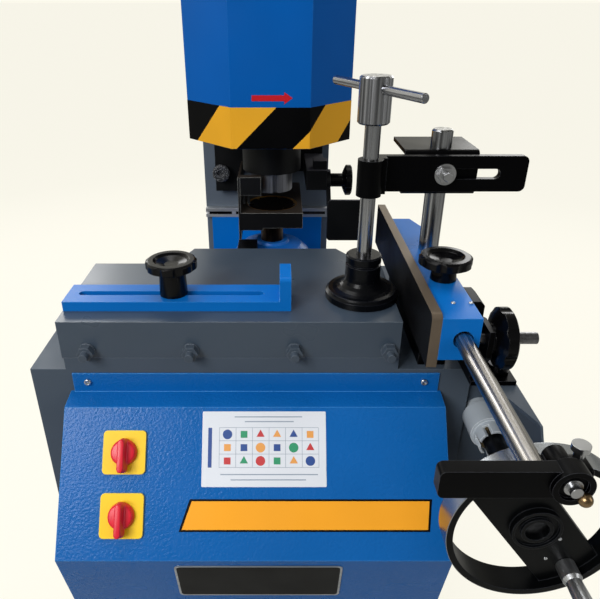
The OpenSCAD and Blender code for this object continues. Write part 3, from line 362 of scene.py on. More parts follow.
HEXAGON_D, HEXAGON_H, HEXAGON_PROUD, HEXAGON_EDGE = 11.6, 4.4, 4.2, 0.9
bolt_low, bolt_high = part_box("clamp_bolt")
bolt_face = Vector(((bolt_low[0] + bolt_high[0]) / 2, bolt_low[1],
                    (bolt_low[2] + bolt_high[2]) / 2))
bm = bmesh.new()
bmesh.ops.create_cone(bm, cap_ends=True, segments=6, radius1=HEXAGON_D / 2000,
                      radius2=HEXAGON_D / 2000, depth=HEXAGON_H / 1000,
                      matrix=looking(bolt_face, (0, -1, 0))
                      @ Matrix.Translation((0, 0, (HEXAGON_PROUD - HEXAGON_H / 2) / 1000)))
ends = [face for face in bm.faces if len(face.verts) == 6]
front = min(ends, key=lambda face: face.calc_center_median().y)
bmesh.ops.bevel(bm, geom=front.edges[:], offset=HEXAGON_EDGE / 1000, affect="EDGES", segments=3,
                profile=0.5, material=-1)
piece("clamp_bolt_hexagon", bm, [bolt_steel], "bracket")


# Length stop
# A ground steel rod slides through the blue bar. Its collar and flip-up arm are satin black,
# with a bright pivot, a plain thumb bolt and a small brown steel ball that the arm rests on.

# Ground steel: one long highlight between warm mid greys, with painted light and dark
# reflection bands along the rod.
ground_rod = steel("ground_steel_rod", "#95928f", rough=0.23, run=(1, 0.004, 1), streak_and_reflection=0.6)
# Steel tempered to straw brown: warm, with one small highlight.
ball_steel = steel("straw_brown_steel", "#8c7455", rough=0.28, run=(1, 1, 1), streak_and_reflection=0.15)
dress(ground_rod, "stop_rod")
dress(black_enamel, "stop_arm")
dress(bolt_steel, "stop_pivot", "stop_thumb_bolt")

LUG_X, LUG_W, LUG_BACK, LUG_FRONT, LUG_TOP, LUG_BOTTOM = 229, 36, -243, -264, 871.5, 855.5
LUG_EDGE, BOSS_D, BOSS_PROUD, BOSS_EDGE = 3.5, 18.4, 1.2, 1.2
lug_middle = spot(LUG_X, (LUG_BACK + LUG_FRONT) / 2, (LUG_TOP + LUG_BOTTOM) / 2)
lug_length = LUG_BACK - LUG_FRONT
bm = bmesh.new()
bmesh.ops.create_cube(bm, size=1.0, matrix=Matrix.Translation(lug_middle) @ Matrix.Diagonal(
    (LUG_W / 1000, lug_length / 1000, (LUG_TOP - LUG_BOTTOM) / 1000, 1)))
bmesh.ops.bevel(bm, geom=bm.edges[:], offset=LUG_EDGE / 1000, affect="EDGES", segments=4,
                profile=0.5, material=-1)
pivot_low, pivot_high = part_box("stop_pivot")
pivot_middle = Vector(((pivot_low[0] + pivot_high[0]) / 2, lug_middle.y,
                       (pivot_low[2] + pivot_high[2]) / 2))
bmesh.ops.create_cone(bm, cap_ends=True, segments=48, radius1=BOSS_D / 2000,
                      radius2=BOSS_D / 2000, depth=(lug_length + BOSS_PROUD) / 1000,
                      matrix=looking(pivot_middle, (0, 1, 0)))
rims = [edge for face in bm.faces if len(face.verts) > 24 for edge in face.edges]
bmesh.ops.bevel(bm, geom=rims, offset=BOSS_EDGE / 1000, affect="EDGES", segments=3,
                profile=0.5, material=-1)
lug = piece("stop_lug", bm, [black_enamel], "length_rod", smooth=35)
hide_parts("stop_collar")

BALL_D, BALL_PLACE = 11.0, (231, -283, 862.7)
bm = bmesh.new()
bmesh.ops.create_uvsphere(bm, u_segments=28, v_segments=16, radius=BALL_D / 2000,
                          matrix=Matrix.Translation(spot(*BALL_PLACE)))
piece("stop_arm_ball", bm, [ball_steel], "length_stop", smooth=60)


# Console
# One folded blue sheet over the cabinet's front, powder coated, so that the light breaks up
# on its pebbled skin. The folds stand out as thin pale lines, painted highlights and worn paint.

# Powder coat: the light breaks up on pebbles, drawn at twice their real width to show.
console_coat = enamel("blue_powder_coat", "#0b61ab", rough=0.26, peel_mm=3.2, peel_depth_mm=0.7,
                      edge_wear_and_highlight="#4c9ade", shine=0.2, edge_mm=1.6)
dress(console_coat, "console_cover")
FOLD_Y, FOLD_Z, SLOPE_LENGTH = -28.5, 750.0, 172.4
SLOPE = math.radians(52.9)
TUCK = math.atan(0.232)
LIP_Y = FOLD_Y - SLOPE_LENGTH * math.cos(SLOPE)
LIP_Z = FOLD_Z - SLOPE_LENGTH * math.sin(SLOPE)


def face_frame(origin, up, out):
    """A frame with X to the right, Y up a face and Z out of it."""
    rows = Matrix((Vector((1, 0, 0)), Vector(up), Vector(out))).transposed()
    return Matrix.Translation(origin) @ rows.to_4x4()


switch_face = face_frame(spot(0, FOLD_Y, FOLD_Z), (0, math.cos(SLOPE), math.sin(SLOPE)),
                         (0, -math.sin(SLOPE), math.cos(SLOPE)))
lower_face = face_frame(spot(0, LIP_Y, LIP_Z), (0, -math.sin(TUCK), math.cos(TUCK)),
                        (0, -math.cos(TUCK), -math.sin(TUCK)))


def raise_sheet(bm, faces, thick):
    """Gives flat faces a thickness in millimetres, along their own Z."""
    grown = bmesh.ops.extrude_face_region(bm, geom=faces)
    verts = [part for part in grown["geom"] if isinstance(part, bmesh.types.BMVert)]
    bmesh.ops.translate(bm, verts=verts, vec=(0, 0, thick / 1000))


def cut_sheet(bm, corners, lift, thick, corner=0.0):
    """A flat sheet with these corners, its corners rounded, lift proud of Z = 0."""
    start = [bm.verts.new((x / 1000, y / 1000, lift / 1000)) for x, y in corners]
    face = bm.faces.new(start)
    if corner:
        bmesh.ops.bevel(bm, geom=start, offset=corner / 1000, affect="VERTICES", segments=6,
                        profile=0.5, material=-1)
        face = next(f for f in bm.faces
                    if len(f.verts) > 8 and f.calc_center_median().z * 1000 > lift - 0.001)
    raise_sheet(bm, [face], thick)


def box_corners(left, down, right, up):
    """The four corners of a plain plate."""
    return [(left, down), (right, down), (right, up), (left, up)]


bm = bmesh.new()
for x in (-220, 189):
    dome_screw(bm, looking(spot(x, -2, 768), (0, -1, 0)), d=9.0, h=3.0)
piece("console_screws", bm, [bright_zinc], "frame", smooth=35)


# Plates on the console
# A printed white plastic plate with a plain chart, a bare orange band edged in black, and a
# bare black plate with a rolled aluminium rim on the lower face. All are glued on.

# Printed plastic under a clear film: nearly white, flat and a little glossy.
plate_plastic = enamel("white_printed_plastic", "#e6e9ee", rough=0.35, peel_mm=4.0,
                       peel_depth_mm=0.005, coat=0.3, shine=0.4)
# Screen-printed inks: thin, matt and even, each in one flat tone.
print_inks = {
    "grey": enamel("grey_print", "#9aa6b4", rough=0.4, peel_mm=4.0, peel_depth_mm=0.002),
    "blue": enamel("blue_print", "#2c4f95", rough=0.4, peel_mm=4.0, peel_depth_mm=0.002),
    "green": enamel("green_print", "#2f9a6c", rough=0.4, peel_mm=4.0, peel_depth_mm=0.002),
    "red": enamel("red_print", "#cc3a3c", rough=0.4, peel_mm=4.0, peel_depth_mm=0.002),
    "orange": enamel("orange_print", "#f0a552", rough=0.4, peel_mm=4.0, peel_depth_mm=0.002),
}
# Orange vinyl: one even warm tone with a faint sheen.
band_vinyl = enamel("orange_vinyl", "#ffab27", rough=0.38, peel_mm=4.0, peel_depth_mm=0.005,
                    shine=0.2)
# Black vinyl: even and matt.
edge_vinyl = enamel("black_vinyl", "#060607", rough=0.4, peel_mm=4.0, peel_depth_mm=0.005,
                    shine=0.12)
# Rolled aluminium: a thin pale line with its grain along the plate.
rim_aluminium = steel("rolled_aluminium_rim", "#b6bac0", rough=0.3, run=(0.05, 1, 1), streak_and_reflection=0.15)

bm = bmesh.new()
cut_sheet(bm, box_corners(-78, -91.5, 68, -5), 0.02, 0.4, 1.5)
bm.transform(switch_face)
piece("chart_plate", bm, [plate_plastic], "frame")

CHART_LEFT, CHART_TOP, CELL_W, CELL_H, CHART_COLUMNS, CHART_ROWS = -58, -24, 19.5, 15.2, 6, 3
CHART_FOOT = CHART_TOP - CHART_ROWS * CELL_H
PRINT_LIFT, PRINT_THICK = 0.42, 0.03
bm = bmesh.new()
for i in range(CHART_COLUMNS + 1):
    x = CHART_LEFT + i * CELL_W
    cut_sheet(bm, box_corners(x, CHART_FOOT, x + 0.5, CHART_TOP), PRINT_LIFT, PRINT_THICK)
for i in range(CHART_ROWS + 1):
    y = CHART_TOP - i * CELL_H
    cut_sheet(bm, box_corners(CHART_LEFT, y, CHART_LEFT + CHART_COLUMNS * CELL_W, y + 0.5),
              PRINT_LIFT + 0.04, PRINT_THICK)
for left, right, y in ((-40, 40, -12), (-28, 30, -17.5), (-56, 58, -78), (-44, 44, -84)):
    cut_sheet(bm, box_corners(left, y, right, y + 1.3), PRINT_LIFT, PRINT_THICK)
bm.transform(switch_face)
piece("chart_lines", bm, [print_inks["grey"]], "frame")

# Each sign's column, row and number of corners, by ink; 24 corners make a disc.
SIGN_D, SIGN_THICK = 11.2, 0.04
CHART_SIGNS = {
    "blue": [(0, 0, 24), (3, 1, 4), (5, 2, 24), (4, 0, 3), (1, 1, 4)],
    "green": [(1, 0, 4), (1, 2, 3), (4, 1, 24), (3, 2, 4)],
    "red": [(2, 0, 3), (0, 2, 4), (2, 2, 24), (5, 1, 3)],
    "orange": [(0, 1, 4), (3, 0, 3), (5, 0, 4), (4, 2, 3), (2, 1, 24)],
}
for ink, signs in CHART_SIGNS.items():
    bm = bmesh.new()
    for column, row, corners in signs:
        middle = Vector((CHART_LEFT + (column + 0.5) * CELL_W,
                         CHART_TOP - (row + 0.5) * CELL_H, PRINT_LIFT)) / 1000
        turn = Matrix.Rotation(math.radians(45 if corners == 4 else 0), 4, "Z")
        made = bmesh.ops.create_circle(bm, cap_ends=True, segments=corners, radius=SIGN_D / 2000,
                                       matrix=Matrix.Translation(middle) @ turn)
        faces = {face for vert in made["verts"] for face in vert.link_faces}
        raise_sheet(bm, list(faces), SIGN_THICK)
    if ink == "blue":
        cut_sheet(bm, box_corners(-71, CHART_FOOT, -66.5, CHART_TOP), PRINT_LIFT, PRINT_THICK)
    bm.transform(switch_face)
    piece("chart_signs_" + ink, bm, [print_inks[ink]], "frame")

# Each plate's name, finish, face, corners, lift, thickness and corner radius.
for name, finish, face_place, corners, lift, thick, radius in (
        ("band_edge", edge_vinyl, switch_face,
         [(-103, -141), (186, -141), (190, -105), (-91, -105)], 0.02, 0.2, 0.0),
        ("orange_band", band_vinyl, switch_face,
         [(-99.5, -138.8), (183.8, -138.8), (187, -107.2), (-88.6, -107.2)], 0.22, 0.2, 0.0),
        ("lower_plate_rim", rim_aluminium, lower_face, box_corners(-109, -86, 86, -11),
         0.02, 1.0, 6.0),
        ("lower_plate", edge_vinyl, lower_face, box_corners(-106.5, -83.5, 83.5, -13.5),
         0.6, 0.6, 4.5)):
    bm = bmesh.new()
    cut_sheet(bm, corners, lift, thick, radius)
    bm.transform(face_place)
    piece(name, bm, [finish], "frame")


# Rotary switches
# Yellow moulded escutcheons under red polyamide handles: a round skirt with a raised bar
# that runs past it at the bottom as a pointer. Both mouldings are drawn paler along their edges
# as a painted highlight, and the ridge catches the light on its left side.
SWITCH_X, SWITCH_DROPS = -168.7, {"upper_switch": 52, "lower_switch": 123}
SKIRT_FOOT_D, SKIRT_TOP_D, SKIRT_H, SKIRT_LIFT, SKIRT_EDGE = 30.6, 27.6, 8.0, 3.3, 2.0
BAR_W, BAR_L, BAR_H, BAR_DOWN, BAR_MIDDLE = 11.5, 39.5, 13.5, 3.2, 15.0
BAR_CORNER, BAR_EDGE, CREST_Z, CREST_W, CREST_L = 5.0, 1.2, 21.0, 0.62, 0.93
# Moulded polycarbonate: an even warm yellow, drawn lighter round its rim as a painted
# highlight.
yellow_moulding = enamel("yellow_polycarbonate", "#fbcf10", rough=0.4, peel_mm=3.0,
                         peel_depth_mm=0.01, edge_wear_and_highlight="#ffe98a", shine=0.3, edge_mm=1.0)
# Moulded polyamide: a clear red, drawn paler on the ridge and edges as a painted highlight.
red_moulding = enamel("red_polyamide", "#dd1930", rough=0.3, peel_mm=3.0, peel_depth_mm=0.01,
                      edge_wear_and_highlight="#ee5a6c", shine=0.4, edge_mm=1.2)
dress(yellow_moulding, "switch_plates")
for body, drop in SWITCH_DROPS.items():
    bm = bmesh.new()
    bmesh.ops.create_cone(bm, cap_ends=True, segments=48, radius1=SKIRT_FOOT_D / 2000,
                          radius2=SKIRT_TOP_D / 2000, depth=SKIRT_H / 1000,
                          matrix=Matrix.Translation((0, 0, (SKIRT_LIFT + SKIRT_H / 2) / 1000)))
    top = max((face for face in bm.faces if len(face.verts) > 4),
              key=lambda face: face.calc_center_median().z)
    bmesh.ops.bevel(bm, geom=top.edges[:], offset=SKIRT_EDGE / 1000, affect="EDGES", segments=3,
                    profile=0.5, material=-1)
    bar = bmesh.ops.create_cube(bm, size=1.0, matrix=Matrix.Translation(
        (0, -BAR_DOWN / 1000, BAR_MIDDLE / 1000)) @ Matrix.Diagonal(
        (BAR_W / 1000, BAR_L / 1000, BAR_H / 1000, 1)))
    upright = [edge for edge in bm.edges if all(vert in bar["verts"] for vert in edge.verts)
               and abs(edge.verts[0].co.z - edge.verts[1].co.z) > 0.9 * BAR_H / 1000]
    bmesh.ops.bevel(bm, geom=upright, offset=BAR_CORNER / 1000, affect="EDGES", segments=6,
                    profile=0.5, material=-1)
    crest = [vert for vert in bm.verts if vert.co.z > CREST_Z / 1000]
    bmesh.ops.scale(bm, verts=crest, vec=(CREST_W, CREST_L, 1.0))
    rim = [edge for edge in bm.edges if all(vert.co.z > CREST_Z / 1000 for vert in edge.verts)]
    bmesh.ops.bevel(bm, geom=rim, offset=BAR_EDGE / 1000, affect="EDGES", segments=3,
                    profile=0.5, material=-1)
    bm.transform(switch_face @ Matrix.Translation((SWITCH_X / 1000, -drop / 1000, 0)))
    handle = piece(body + "_handle", bm, [red_moulding], body, smooth=35)
    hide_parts(body + "_knob")


# Feed shaft, sleeve and handwheel
# The sleeve is a pale grey casting, drawn nearly white along its edges and machined mouth, as
# bare metal and as a painted highlight. The black cast wheel was turned bright on the outside
# of its rim, and two small set screws show on its web.

# Enamel on a casting: pale and softly uneven, nearly white at its edges and machined mouth,
# as bare metal and a painted highlight.
cast_grey = enamel("pale_grey_enamel_on_casting", "#b4bcc2", rough=0.33, peel_mm=5.0,
                   peel_depth_mm=0.06, edge_wear_and_highlight="#e0e5e8", shine=0.5, edge_mm=1.6)
# Sintered bronze: a dull brown metal without a clear highlight.
bushing_bronze = steel("sintered_bronze", "#75664c", rough=0.35, run=(1, 1, 1), streak_and_reflection=0.15)
# Oiled shaft: dark, with faint lines along it.
dark_shaft = steel("oil_dark_shaft", "#3a3b3e", rough=0.35, run=(1, 0.02, 1), streak_and_reflection=0.3)
# Hobbed teeth: mid grey flanks that catch the light one by one.
gear_steel = steel("hobbed_gear_steel", "#74767a", rough=0.32, run=(1, 1, 1), streak_and_reflection=0.2)
# Turned grip: light steel with soft lines along it.
grip_steel = steel("turned_steel_grip", "#c4c6c9", rough=0.36, run=(1, 0.004, 1), streak_and_reflection=0.3)
dress(cast_grey, "shaft_sleeve")
dress(bushing_bronze, "shaft_bushes")
dress(dark_shaft, "feed_shaft")
dress(gear_steel, "feed_pinion", "feed_rack")
dress(grip_steel, "handwheel_grip", "grip_pin")

WHEEL_X, WHEEL_Z, WHEEL_D, WEB_FRONT, TURNED_DEPTH = 266.0, 717.0, 180.0, -176.0, 0.6
# Enamel on a casting: black and slightly wavy, round a rim turned mirror bright.
wheel_black = enamel("black_enamel_on_cast_wheel", "#060708", rough=0.3, peel_mm=3.5,
                     peel_depth_mm=0.04, edge_wear_and_highlight="#2b2d31", shine=0.1, edge_mm=1.4)
tree = wheel_black.node_tree
place = add(tree, "ShaderNodeTexCoord")["Object"]
away = add(tree, "ShaderNodeVectorMath", {0: place, 1: spot(WHEEL_X, 0, WHEEL_Z)},
           operation="SUBTRACT")["Vector"]
round_axle = add(tree, "ShaderNodeVectorMath", {0: away, 1: (1, 0, 1)},
                 operation="MULTIPLY")["Vector"]
radius = add(tree, "ShaderNodeVectorMath", {0: round_axle}, operation="LENGTH")["Value"]
turned_rim = add(tree, "ShaderNodeMath", {0: radius, 1: (WHEEL_D / 2 - TURNED_DEPTH) / 1000},
                 operation="GREATER_THAN")["Value"]
over(wheel_black, turned_rim, "#9da1a6", metallic=1.0, rough=0.25)
dress(wheel_black, "handwheel")
bm = bmesh.new()
for dx, dz in ((28.6, -18), (20, -46)):
    dome_screw(bm, looking(spot(WHEEL_X + dx, WEB_FRONT, WHEEL_Z + dz), (0, -1, 0)), d=4.0,
               h=1.2)
piece("wheel_set_screws", bm, [bright_zinc], "feed_wheel", smooth=35)


# Saddle and ways
# The saddle plate, dovetail and post way are ground and kept bare under a film of oil. The
# plate's front edge is bright, with dark oil slots at its two ends.

# Ground steel under oil: pale, with a soft, broad shine.
ground_way = steel("ground_way_steel", "#d3d5d8", rough=0.45, run=(0.02, 1, 1), streak_and_reflection=0.12)
SLOT_FRONT, SLOT_BACK, SLOT_FOOT, SLOT_TOP = 560, 600, 787, 793
for left, right in ((-132, -84), (-76, -68), (62, 109)):
    slot = inside(ground_way.node_tree, (left, SLOT_FRONT, SLOT_FOOT),
                  (right, SLOT_BACK, SLOT_TOP))
    over(ground_way, slot, "#101012", metallic=0.2, rough=0.6)
# Ground steel standing upright: drawn darker than the flat ways as painted shade, with lines
# up and down.
shaded_post_way = steel("shaded_ground_post_way", "#9c9ea1", rough=0.22, run=(1, 1, 0.02), streak_and_reflection=0.2)
dress(ground_way, "saddle_plate", "cross_way")
dress(shaded_post_way, "upper_way")


# Hood
# Eight-sided sheet hood in a deep gloss blue, with a yellow and black vinyl band round its
# foot and a red arrow that shows which way the spindle turns. Screws hold its rear edges.

# Gloss enamel on sheet: deep blue with clear soft reflections, and pale folds that are worn
# paint and a painted highlight.
hood_enamel = enamel("deep_blue_gloss_enamel", "#005db1", rough=0.32, peel_mm=3.5,
                     peel_depth_mm=0.02, edge_wear_and_highlight="#2277cb", shine=0.15, edge_mm=1.2)
# Vinyls: even tones, duller than the paint round them, and the red a touch glossier.
yellow_vinyl = enamel("yellow_vinyl", "#f7b22a", rough=0.4, peel_mm=5.0, peel_depth_mm=0.01,
                      shine=0.2)
stripe_vinyl = enamel("black_stripe_vinyl", "#020203", rough=0.4, peel_mm=5.0, peel_depth_mm=0.01,
                      shine=0.08)
red_vinyl = enamel("red_vinyl", "#d01624", rough=0.4, peel_mm=5.0, peel_depth_mm=0.01, shine=0.3)
dress(hood_enamel, "hood")
HOOD_OUTLINE = [(-135, 580), (-135, 396), (-60, 317), (60, 317), (129, 390), (129, 530),
                (115, 580)]
HOOD_START = -184.0  # the outline's first point, measured from the left front corner
BAND_FOOT, BAND_TOP = 978.2, 1039.5
STRIPE_PERIOD, YELLOW_WIDTH, FIRST_YELLOW = 181.0, 94.5, 21.9
VINYL_LIFT, VINYL_THICK = 0.05, 0.2

fold_places = [HOOD_START]
for a, b in zip(HOOD_OUTLINE, HOOD_OUTLINE[1:]):
    fold_places.append(fold_places[-1] + math.dist(a, b))


def on_hood(s, z, lift):
    """A point s along the hood's outline and z high, lift proud of the sheet and mitred at
    the folds."""
    out = []
    for (x0, y0), (x1, y1) in zip(HOOD_OUTLINE, HOOD_OUTLINE[1:]):
        length = math.dist((x0, y0), (x1, y1))
        out.append(Vector(((y1 - y0) / length, (x0 - x1) / length)))
    corners = []
    for i, point in enumerate(HOOD_OUTLINE):
        before, after = out[max(i - 1, 0)], out[min(i, len(out) - 1)]
        corners.append(Vector(point) + (before + after) * lift / (1 + before.dot(after)))
    i = next(i for i in range(len(out)) if s <= fold_places[i + 1] + 0.001)
    t = (s - fold_places[i]) / (fold_places[i + 1] - fold_places[i])
    x, y = corners[i].lerp(corners[i + 1], t)
    return spot(x, y, z)


bm = bmesh.new()
bmesh.ops.create_grid(bm, x_segments=1, y_segments=1, size=0.5)
band_length = fold_places[-1] - HOOD_START
bmesh.ops.scale(bm, verts=bm.verts, vec=(band_length, BAND_TOP - BAND_FOOT, 1))
bmesh.ops.translate(bm, verts=bm.verts,
                    vec=(HOOD_START + band_length / 2, (BAND_FOOT + BAND_TOP) / 2, 0))
cuts = [((s, 0, 0), (1, 0, 0)) for s in fold_places[1:-1]]
for k in range(-2, 4):
    for edge in (FIRST_YELLOW, FIRST_YELLOW + YELLOW_WIDTH):
        cuts.append(((edge + k * STRIPE_PERIOD, BAND_FOOT, 0), (1, -1, 0)))
for place, across in cuts:
    bmesh.ops.bisect_plane(bm, geom=bm.verts[:] + bm.edges[:] + bm.faces[:], dist=0.001,
                           plane_co=place, plane_no=across)
for face in bm.faces:
    middle = face.calc_center_median()
    along = (middle.x - (middle.y - BAND_FOOT) - FIRST_YELLOW) % STRIPE_PERIOD
    face.material_index = 1 if along > YELLOW_WIDTH else 0
for vert in bm.verts:
    vert.co = on_hood(vert.co.x, vert.co.y, VINYL_LIFT)
band = piece("hazard_band", bm, [yellow_vinyl, stripe_vinyl], "head")
band.modifiers.new("vinyl", "SOLIDIFY").thickness = -VINYL_THICK / 1000

bm = bmesh.new()
ARROW_OUTLINE = [(141, 1048.5), (189.5, 1048.5), (189.5, 1044.2), (202, 1052.8), (189.5, 1061.4),
                 (189.5, 1057), (141, 1057)]
bm.faces.new([bm.verts.new((s, z, 0)) for s, z in ARROW_OUTLINE])
for vert in bm.verts:
    vert.co = on_hood(vert.co.x, vert.co.y, VINYL_LIFT)
arrow = piece("turning_arrow", bm, [red_vinyl], "head")
arrow.modifiers.new("vinyl", "SOLIDIFY").thickness = -VINYL_THICK / 1000

bm = bmesh.new()
for z in (1070, 1210, 1400):
    dome_screw(bm, looking(spot(-135, 560, z), (-1, 0, 0)), d=9.0, h=2.6)
    dome_screw(bm, looking(spot(120.6, 560, z), (57, 16, 0)), d=9.0, h=2.6)
piece("hood_screws", bm, [bright_zinc], "head", smooth=35)


# Lower motor and its bracket
# The flange motor and the welded plate and ring that carry it are sprayed blue together;
# the small terminal box on the motor's shoulder is black moulded plastic.

# Sprayed enamel: the motor's blue, drawn brighter on the bracket as painted light, so that
# each weldment's flat faces show.
lit_bracket_enamel = enamel("lit_blue_enamel_on_weldment", "#0070cc", rough=0.34, peel_mm=3.0,
                        peel_depth_mm=0.03, edge_wear_and_highlight="#3a90da", shine=0.25)
# The same paint over cast fins: softer and wavier.
motor_enamel = enamel("blue_enamel_on_motor", "#0f62b8", rough=0.34, peel_mm=5.0,
                      peel_depth_mm=0.05, edge_wear_and_highlight="#4a90d0", shine=0.2, edge_mm=1.2)
TERMINAL_LOW, TERMINAL_HIGH = (-60.5, 361.5, 734.5), (-25.5, 410, 794.5)
terminal_box = inside(motor_enamel.node_tree, TERMINAL_LOW, TERMINAL_HIGH)
over(motor_enamel, terminal_box, "#08080a", metallic=0.0, rough=0.4)
dress(lit_bracket_enamel, "motor_bracket")
dress(motor_enamel, "lower_motor", "upper_motor")


# Cutter platform and lower cutter
# A milled plate, blackened and worn back to bright steel along its edges, where a painted
# highlight also runs, with a brass-gold ring round the opening where the lower cutter block
# turns; the ring is drawn brighter than its metal as a painted glint. The block is brown tool
# steel.

# Blackened steel rubbed bare: broad pale edges round nearly black faces, worn steel and a
# painted highlight.
platform_black = enamel("worn_black_steel", "#0c0c0e", rough=0.36, peel_mm=2.4,
                        peel_depth_mm=0.03, edge_wear_and_highlight="#a9a9a4", shine=0.3, edge_mm=1.6)
SPINDLE_X, SPINDLE_Y, GOLD_RING_D = 0, 450, 93.0
tree = platform_black.node_tree
facing = add(tree, "ShaderNodeTexCoord")["Normal"]
upward = add(tree, "ShaderNodeVectorMath", {0: facing, 1: (0, 0, 1)},
             operation="DOT_PRODUCT")["Value"]
# Faces that look up are drawn a warm brown grey, half metal.
upward_faces = add(tree, "ShaderNodeMath", {0: upward, 1: 0.9}, operation="GREATER_THAN")["Value"]
over(platform_black, upward_faces, "#3b332c", metallic=0.5, rough=0.4)
place = add(tree, "ShaderNodeTexCoord")["Object"]
away = add(tree, "ShaderNodeVectorMath", {0: place, 1: spot(SPINDLE_X, SPINDLE_Y, 0)},
           operation="SUBTRACT")["Vector"]
round_spindle = add(tree, "ShaderNodeVectorMath", {0: away, 1: (1, 1, 0)},
                    operation="MULTIPLY")["Vector"]
radius = add(tree, "ShaderNodeVectorMath", {0: round_spindle}, operation="LENGTH")["Value"]
# Inside the ring the plate is drawn a bright gold, brighter than bronze as a painted glint.
gold_ring_and_glint = add(tree, "ShaderNodeMath", {0: radius, 1: GOLD_RING_D / 2000},
                operation="LESS_THAN")["Value"]
over(platform_black, gold_ring_and_glint, "#c79a58", metallic=1.0, rough=0.4)
# Tool steel: a warm dark brown with dull lines down the cutter.
tool_steel = steel("dark_tool_steel", "#30261f", rough=0.35, run=(1, 1, 0.1), streak_and_reflection=0.3,
                   edge_mm=0.8)
dress(platform_black, "cutter_platform")
dress(tool_steel, "lower_spindle")


# Upper unit
# Slide, spindle housing and guard are black castings, matt, drawn grey on their upward faces.
# The slide's lock knob is speckled from wear, and the upper cutter block is darkened steel.

# Enamel on rough castings: soft black sides under a matt grey top.
casting_black = enamel("black_enamel_on_casting", "#08090b", rough=0.45, peel_mm=4.0,
                       peel_depth_mm=0.06, edge_wear_and_highlight="#26282c", shine=0.2, edge_mm=1.4)
# Darkened steel: matt mid grey with lines up and down.
dark_steel = steel("darkened_steel", "#8a8c94", rough=0.42, run=(1, 1, 0.02), streak_and_reflection=0.3)
tree = casting_black.node_tree
facing = add(tree, "ShaderNodeTexCoord")["Normal"]
upward = add(tree, "ShaderNodeVectorMath", {0: facing, 1: (0, 0, 1)},
             operation="DOT_PRODUCT")["Value"]
# Faces that look up are drawn a matt grey.
upward_grey = add(tree, "ShaderNodeMath", {0: upward, 1: 0.9}, operation="GREATER_THAN")["Value"]
over(casting_black, upward_grey, "#4c4b50", metallic=0.0, rough=0.7)
# Worn phenolic: dark grey, with pale specks where the skin has chipped.
speckled = enamel("worn_speckled_phenolic", "#232427", rough=0.35, peel_mm=2.0,
                  peel_depth_mm=0.04, edge_wear_and_highlight="#55575b", shine=0.5)
SPECK_MM = 1.923
tree = speckled.node_tree
place = add(tree, "ShaderNodeTexCoord")["Object"]
dots = add(tree, "ShaderNodeTexNoise", {"Vector": place, "Scale": 1000 / SPECK_MM,
                                        "Detail": 2.0})["Fac"]
specks = add(tree, "ShaderNodeMath", {0: dots, 1: 0.58}, operation="GREATER_THAN")["Value"]
over(speckled, specks, "#8f9195")
dress(casting_black, "upper_slide", "spindle_housing", "cutter_guard")
dress(dark_steel, "upper_spindle")
dress(speckled, "slide_lock_knob")


# Floor and light
# A pale floor that reads as plain paper behind the machine, soft light from the front left
# and from above, and a weak fill from the right.
PAPER, FLOOR_SHADE, FLOOR_SIZE = "#fffcef", "#5a5853", 1000
# Matt paper. The eye sees it pale, mostly by its own glow, with enough real shading left for
# the shadow; mirrors see it half as bright, and the lamps meet a dim floor that throws
# little light back.
paper, tree, shader = bare_material("pale_paper_floor")
shader.inputs["Roughness"].default_value = 0.95
shader.inputs["Specular IOR Level"].default_value = 0.0
ray = add(tree, "ShaderNodeLightPath")
mirrored = add(tree, "ShaderNodeMath", {0: ray["Is Glossy Ray"], 1: ray["Is Transmission Ray"]},
               operation="MAXIMUM")["Value"]
half_shown = add(tree, "ShaderNodeMath", {0: mirrored, 1: 0.5}, operation="MULTIPLY")["Value"]
shown = add(tree, "ShaderNodeMath", {0: ray["Is Camera Ray"], 1: half_shown},
            operation="MAXIMUM")["Value"]
pale = add(tree, "ShaderNodeMix", {0: shown, 6: linear(FLOOR_SHADE), 7: linear(PAPER)},
           data_type="RGBA")[2]
tree.links.new(pale, shader.inputs["Base Color"])
glow = add(tree, "ShaderNodeEmission", {"Color": linear(PAPER), "Strength": 1.02})["Emission"]
share = add(tree, "ShaderNodeMath", {0: ray["Is Camera Ray"], 1: 0.86},
            operation="MULTIPLY")["Value"]
mixed = add(tree, "ShaderNodeMixShader", {0: share, 1: shader.outputs["BSDF"], 2: glow})["Shader"]
tree.links.new(mixed, tree.nodes["Material Output"].inputs["Surface"])

bm = bmesh.new()
bmesh.ops.create_grid(bm, x_segments=1, y_segments=1, size=FLOOR_SIZE)
floor_mesh = bpy.data.meshes.new("floor")
bm.to_mesh(floor_mesh)
bm.free()
floor_mesh.materials.append(paper)
floor = bpy.data.objects.new("floor", floor_mesh)
bpy.context.collection.objects.link(floor)

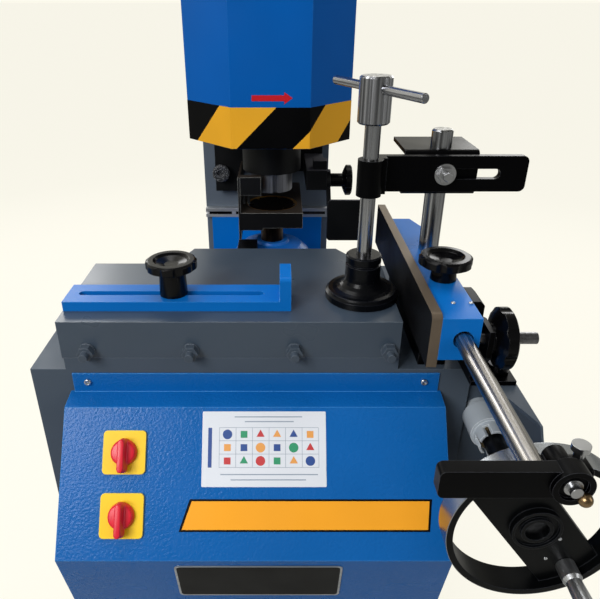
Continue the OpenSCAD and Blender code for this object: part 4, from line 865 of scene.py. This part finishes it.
# The room is paper behind the machine, as bright as the eye sees it, and dimmer on the
# viewer's side and overhead, which keeps blacks black and gives steel its dark lines.
world = bpy.data.worlds.new("studio")
bpy.context.scene.world = world
world.use_nodes = True
tree = world.node_tree
ray = add(tree, "ShaderNodeLightPath")
mirrored = add(tree, "ShaderNodeMath", {0: ray["Is Glossy Ray"], 1: ray["Is Transmission Ray"]},
               operation="MAXIMUM")["Value"]
toward = add(tree, "ShaderNodeTexCoord")["Generated"]
behind = add(tree, "ShaderNodeVectorMath", {0: toward, 1: (-0.55, 0.75, -0.35)},
             operation="DOT_PRODUCT")["Value"]
dim = add(tree, "ShaderNodeMapRange", {"Value": behind, "From Min": -0.35, "From Max": 0.45,
                                       "To Min": 0.16, "To Max": 0.95})["Result"]
paper_light = add(tree, "ShaderNodeBackground", {"Color": linear(PAPER),
                                                 "Strength": 0.98})["Background"]
mirror_light = add(tree, "ShaderNodeBackground", {"Color": linear(PAPER),
                                                  "Strength": dim})["Background"]
soft_light = add(tree, "ShaderNodeBackground", {"Color": linear("#eef2f8"),
                                                "Strength": 0.46})["Background"]
room = add(tree, "ShaderNodeMixShader", {0: mirrored, 1: soft_light, 2: mirror_light})["Shader"]
room = add(tree, "ShaderNodeMixShader", {0: ray["Is Camera Ray"], 1: room,
                                         2: paper_light})["Shader"]
tree.links.new(room, tree.nodes["World Output"].inputs["Surface"])


def soft_box(name, place, target, width, height, watts):
    """A white rectangular lamp, aimed at a target."""
    data = bpy.data.lights.new(name, "AREA")
    data.shape, data.size, data.size_y = "RECTANGLE", width, height
    data.energy = watts
    lamp = bpy.data.objects.new(name, data)
    lamp.location = place
    lamp.rotation_euler = (Vector(target) - Vector(place)).to_track_quat("-Z", "Y").to_euler()
    bpy.context.collection.objects.link(lamp)


soft_box("key_light", (-1.4, -2.2, 2.3), (0, -0.1, 0.9), 1.2, 1.2, 52)
soft_box("fill_light", (1.9, -1.2, 1.7), (0, -0.1, 0.9), 0.6, 1.2, 6)
soft_box("top_light", (-0.3, 0.4, 2.9), (0, 0, 0.8), 1.4, 1.0, 18)
soft_box("rear_left_light", (-1.5, 2.3, 1.9), (0, 0.1, 0.9), 0.9, 1.4, 18)
soft_box("rear_right_light", (1.5, 2.3, 1.9), (0, 0.1, 0.9), 0.9, 1.4, 16)
bpy.context.scene.view_settings.view_transform = "Standard"
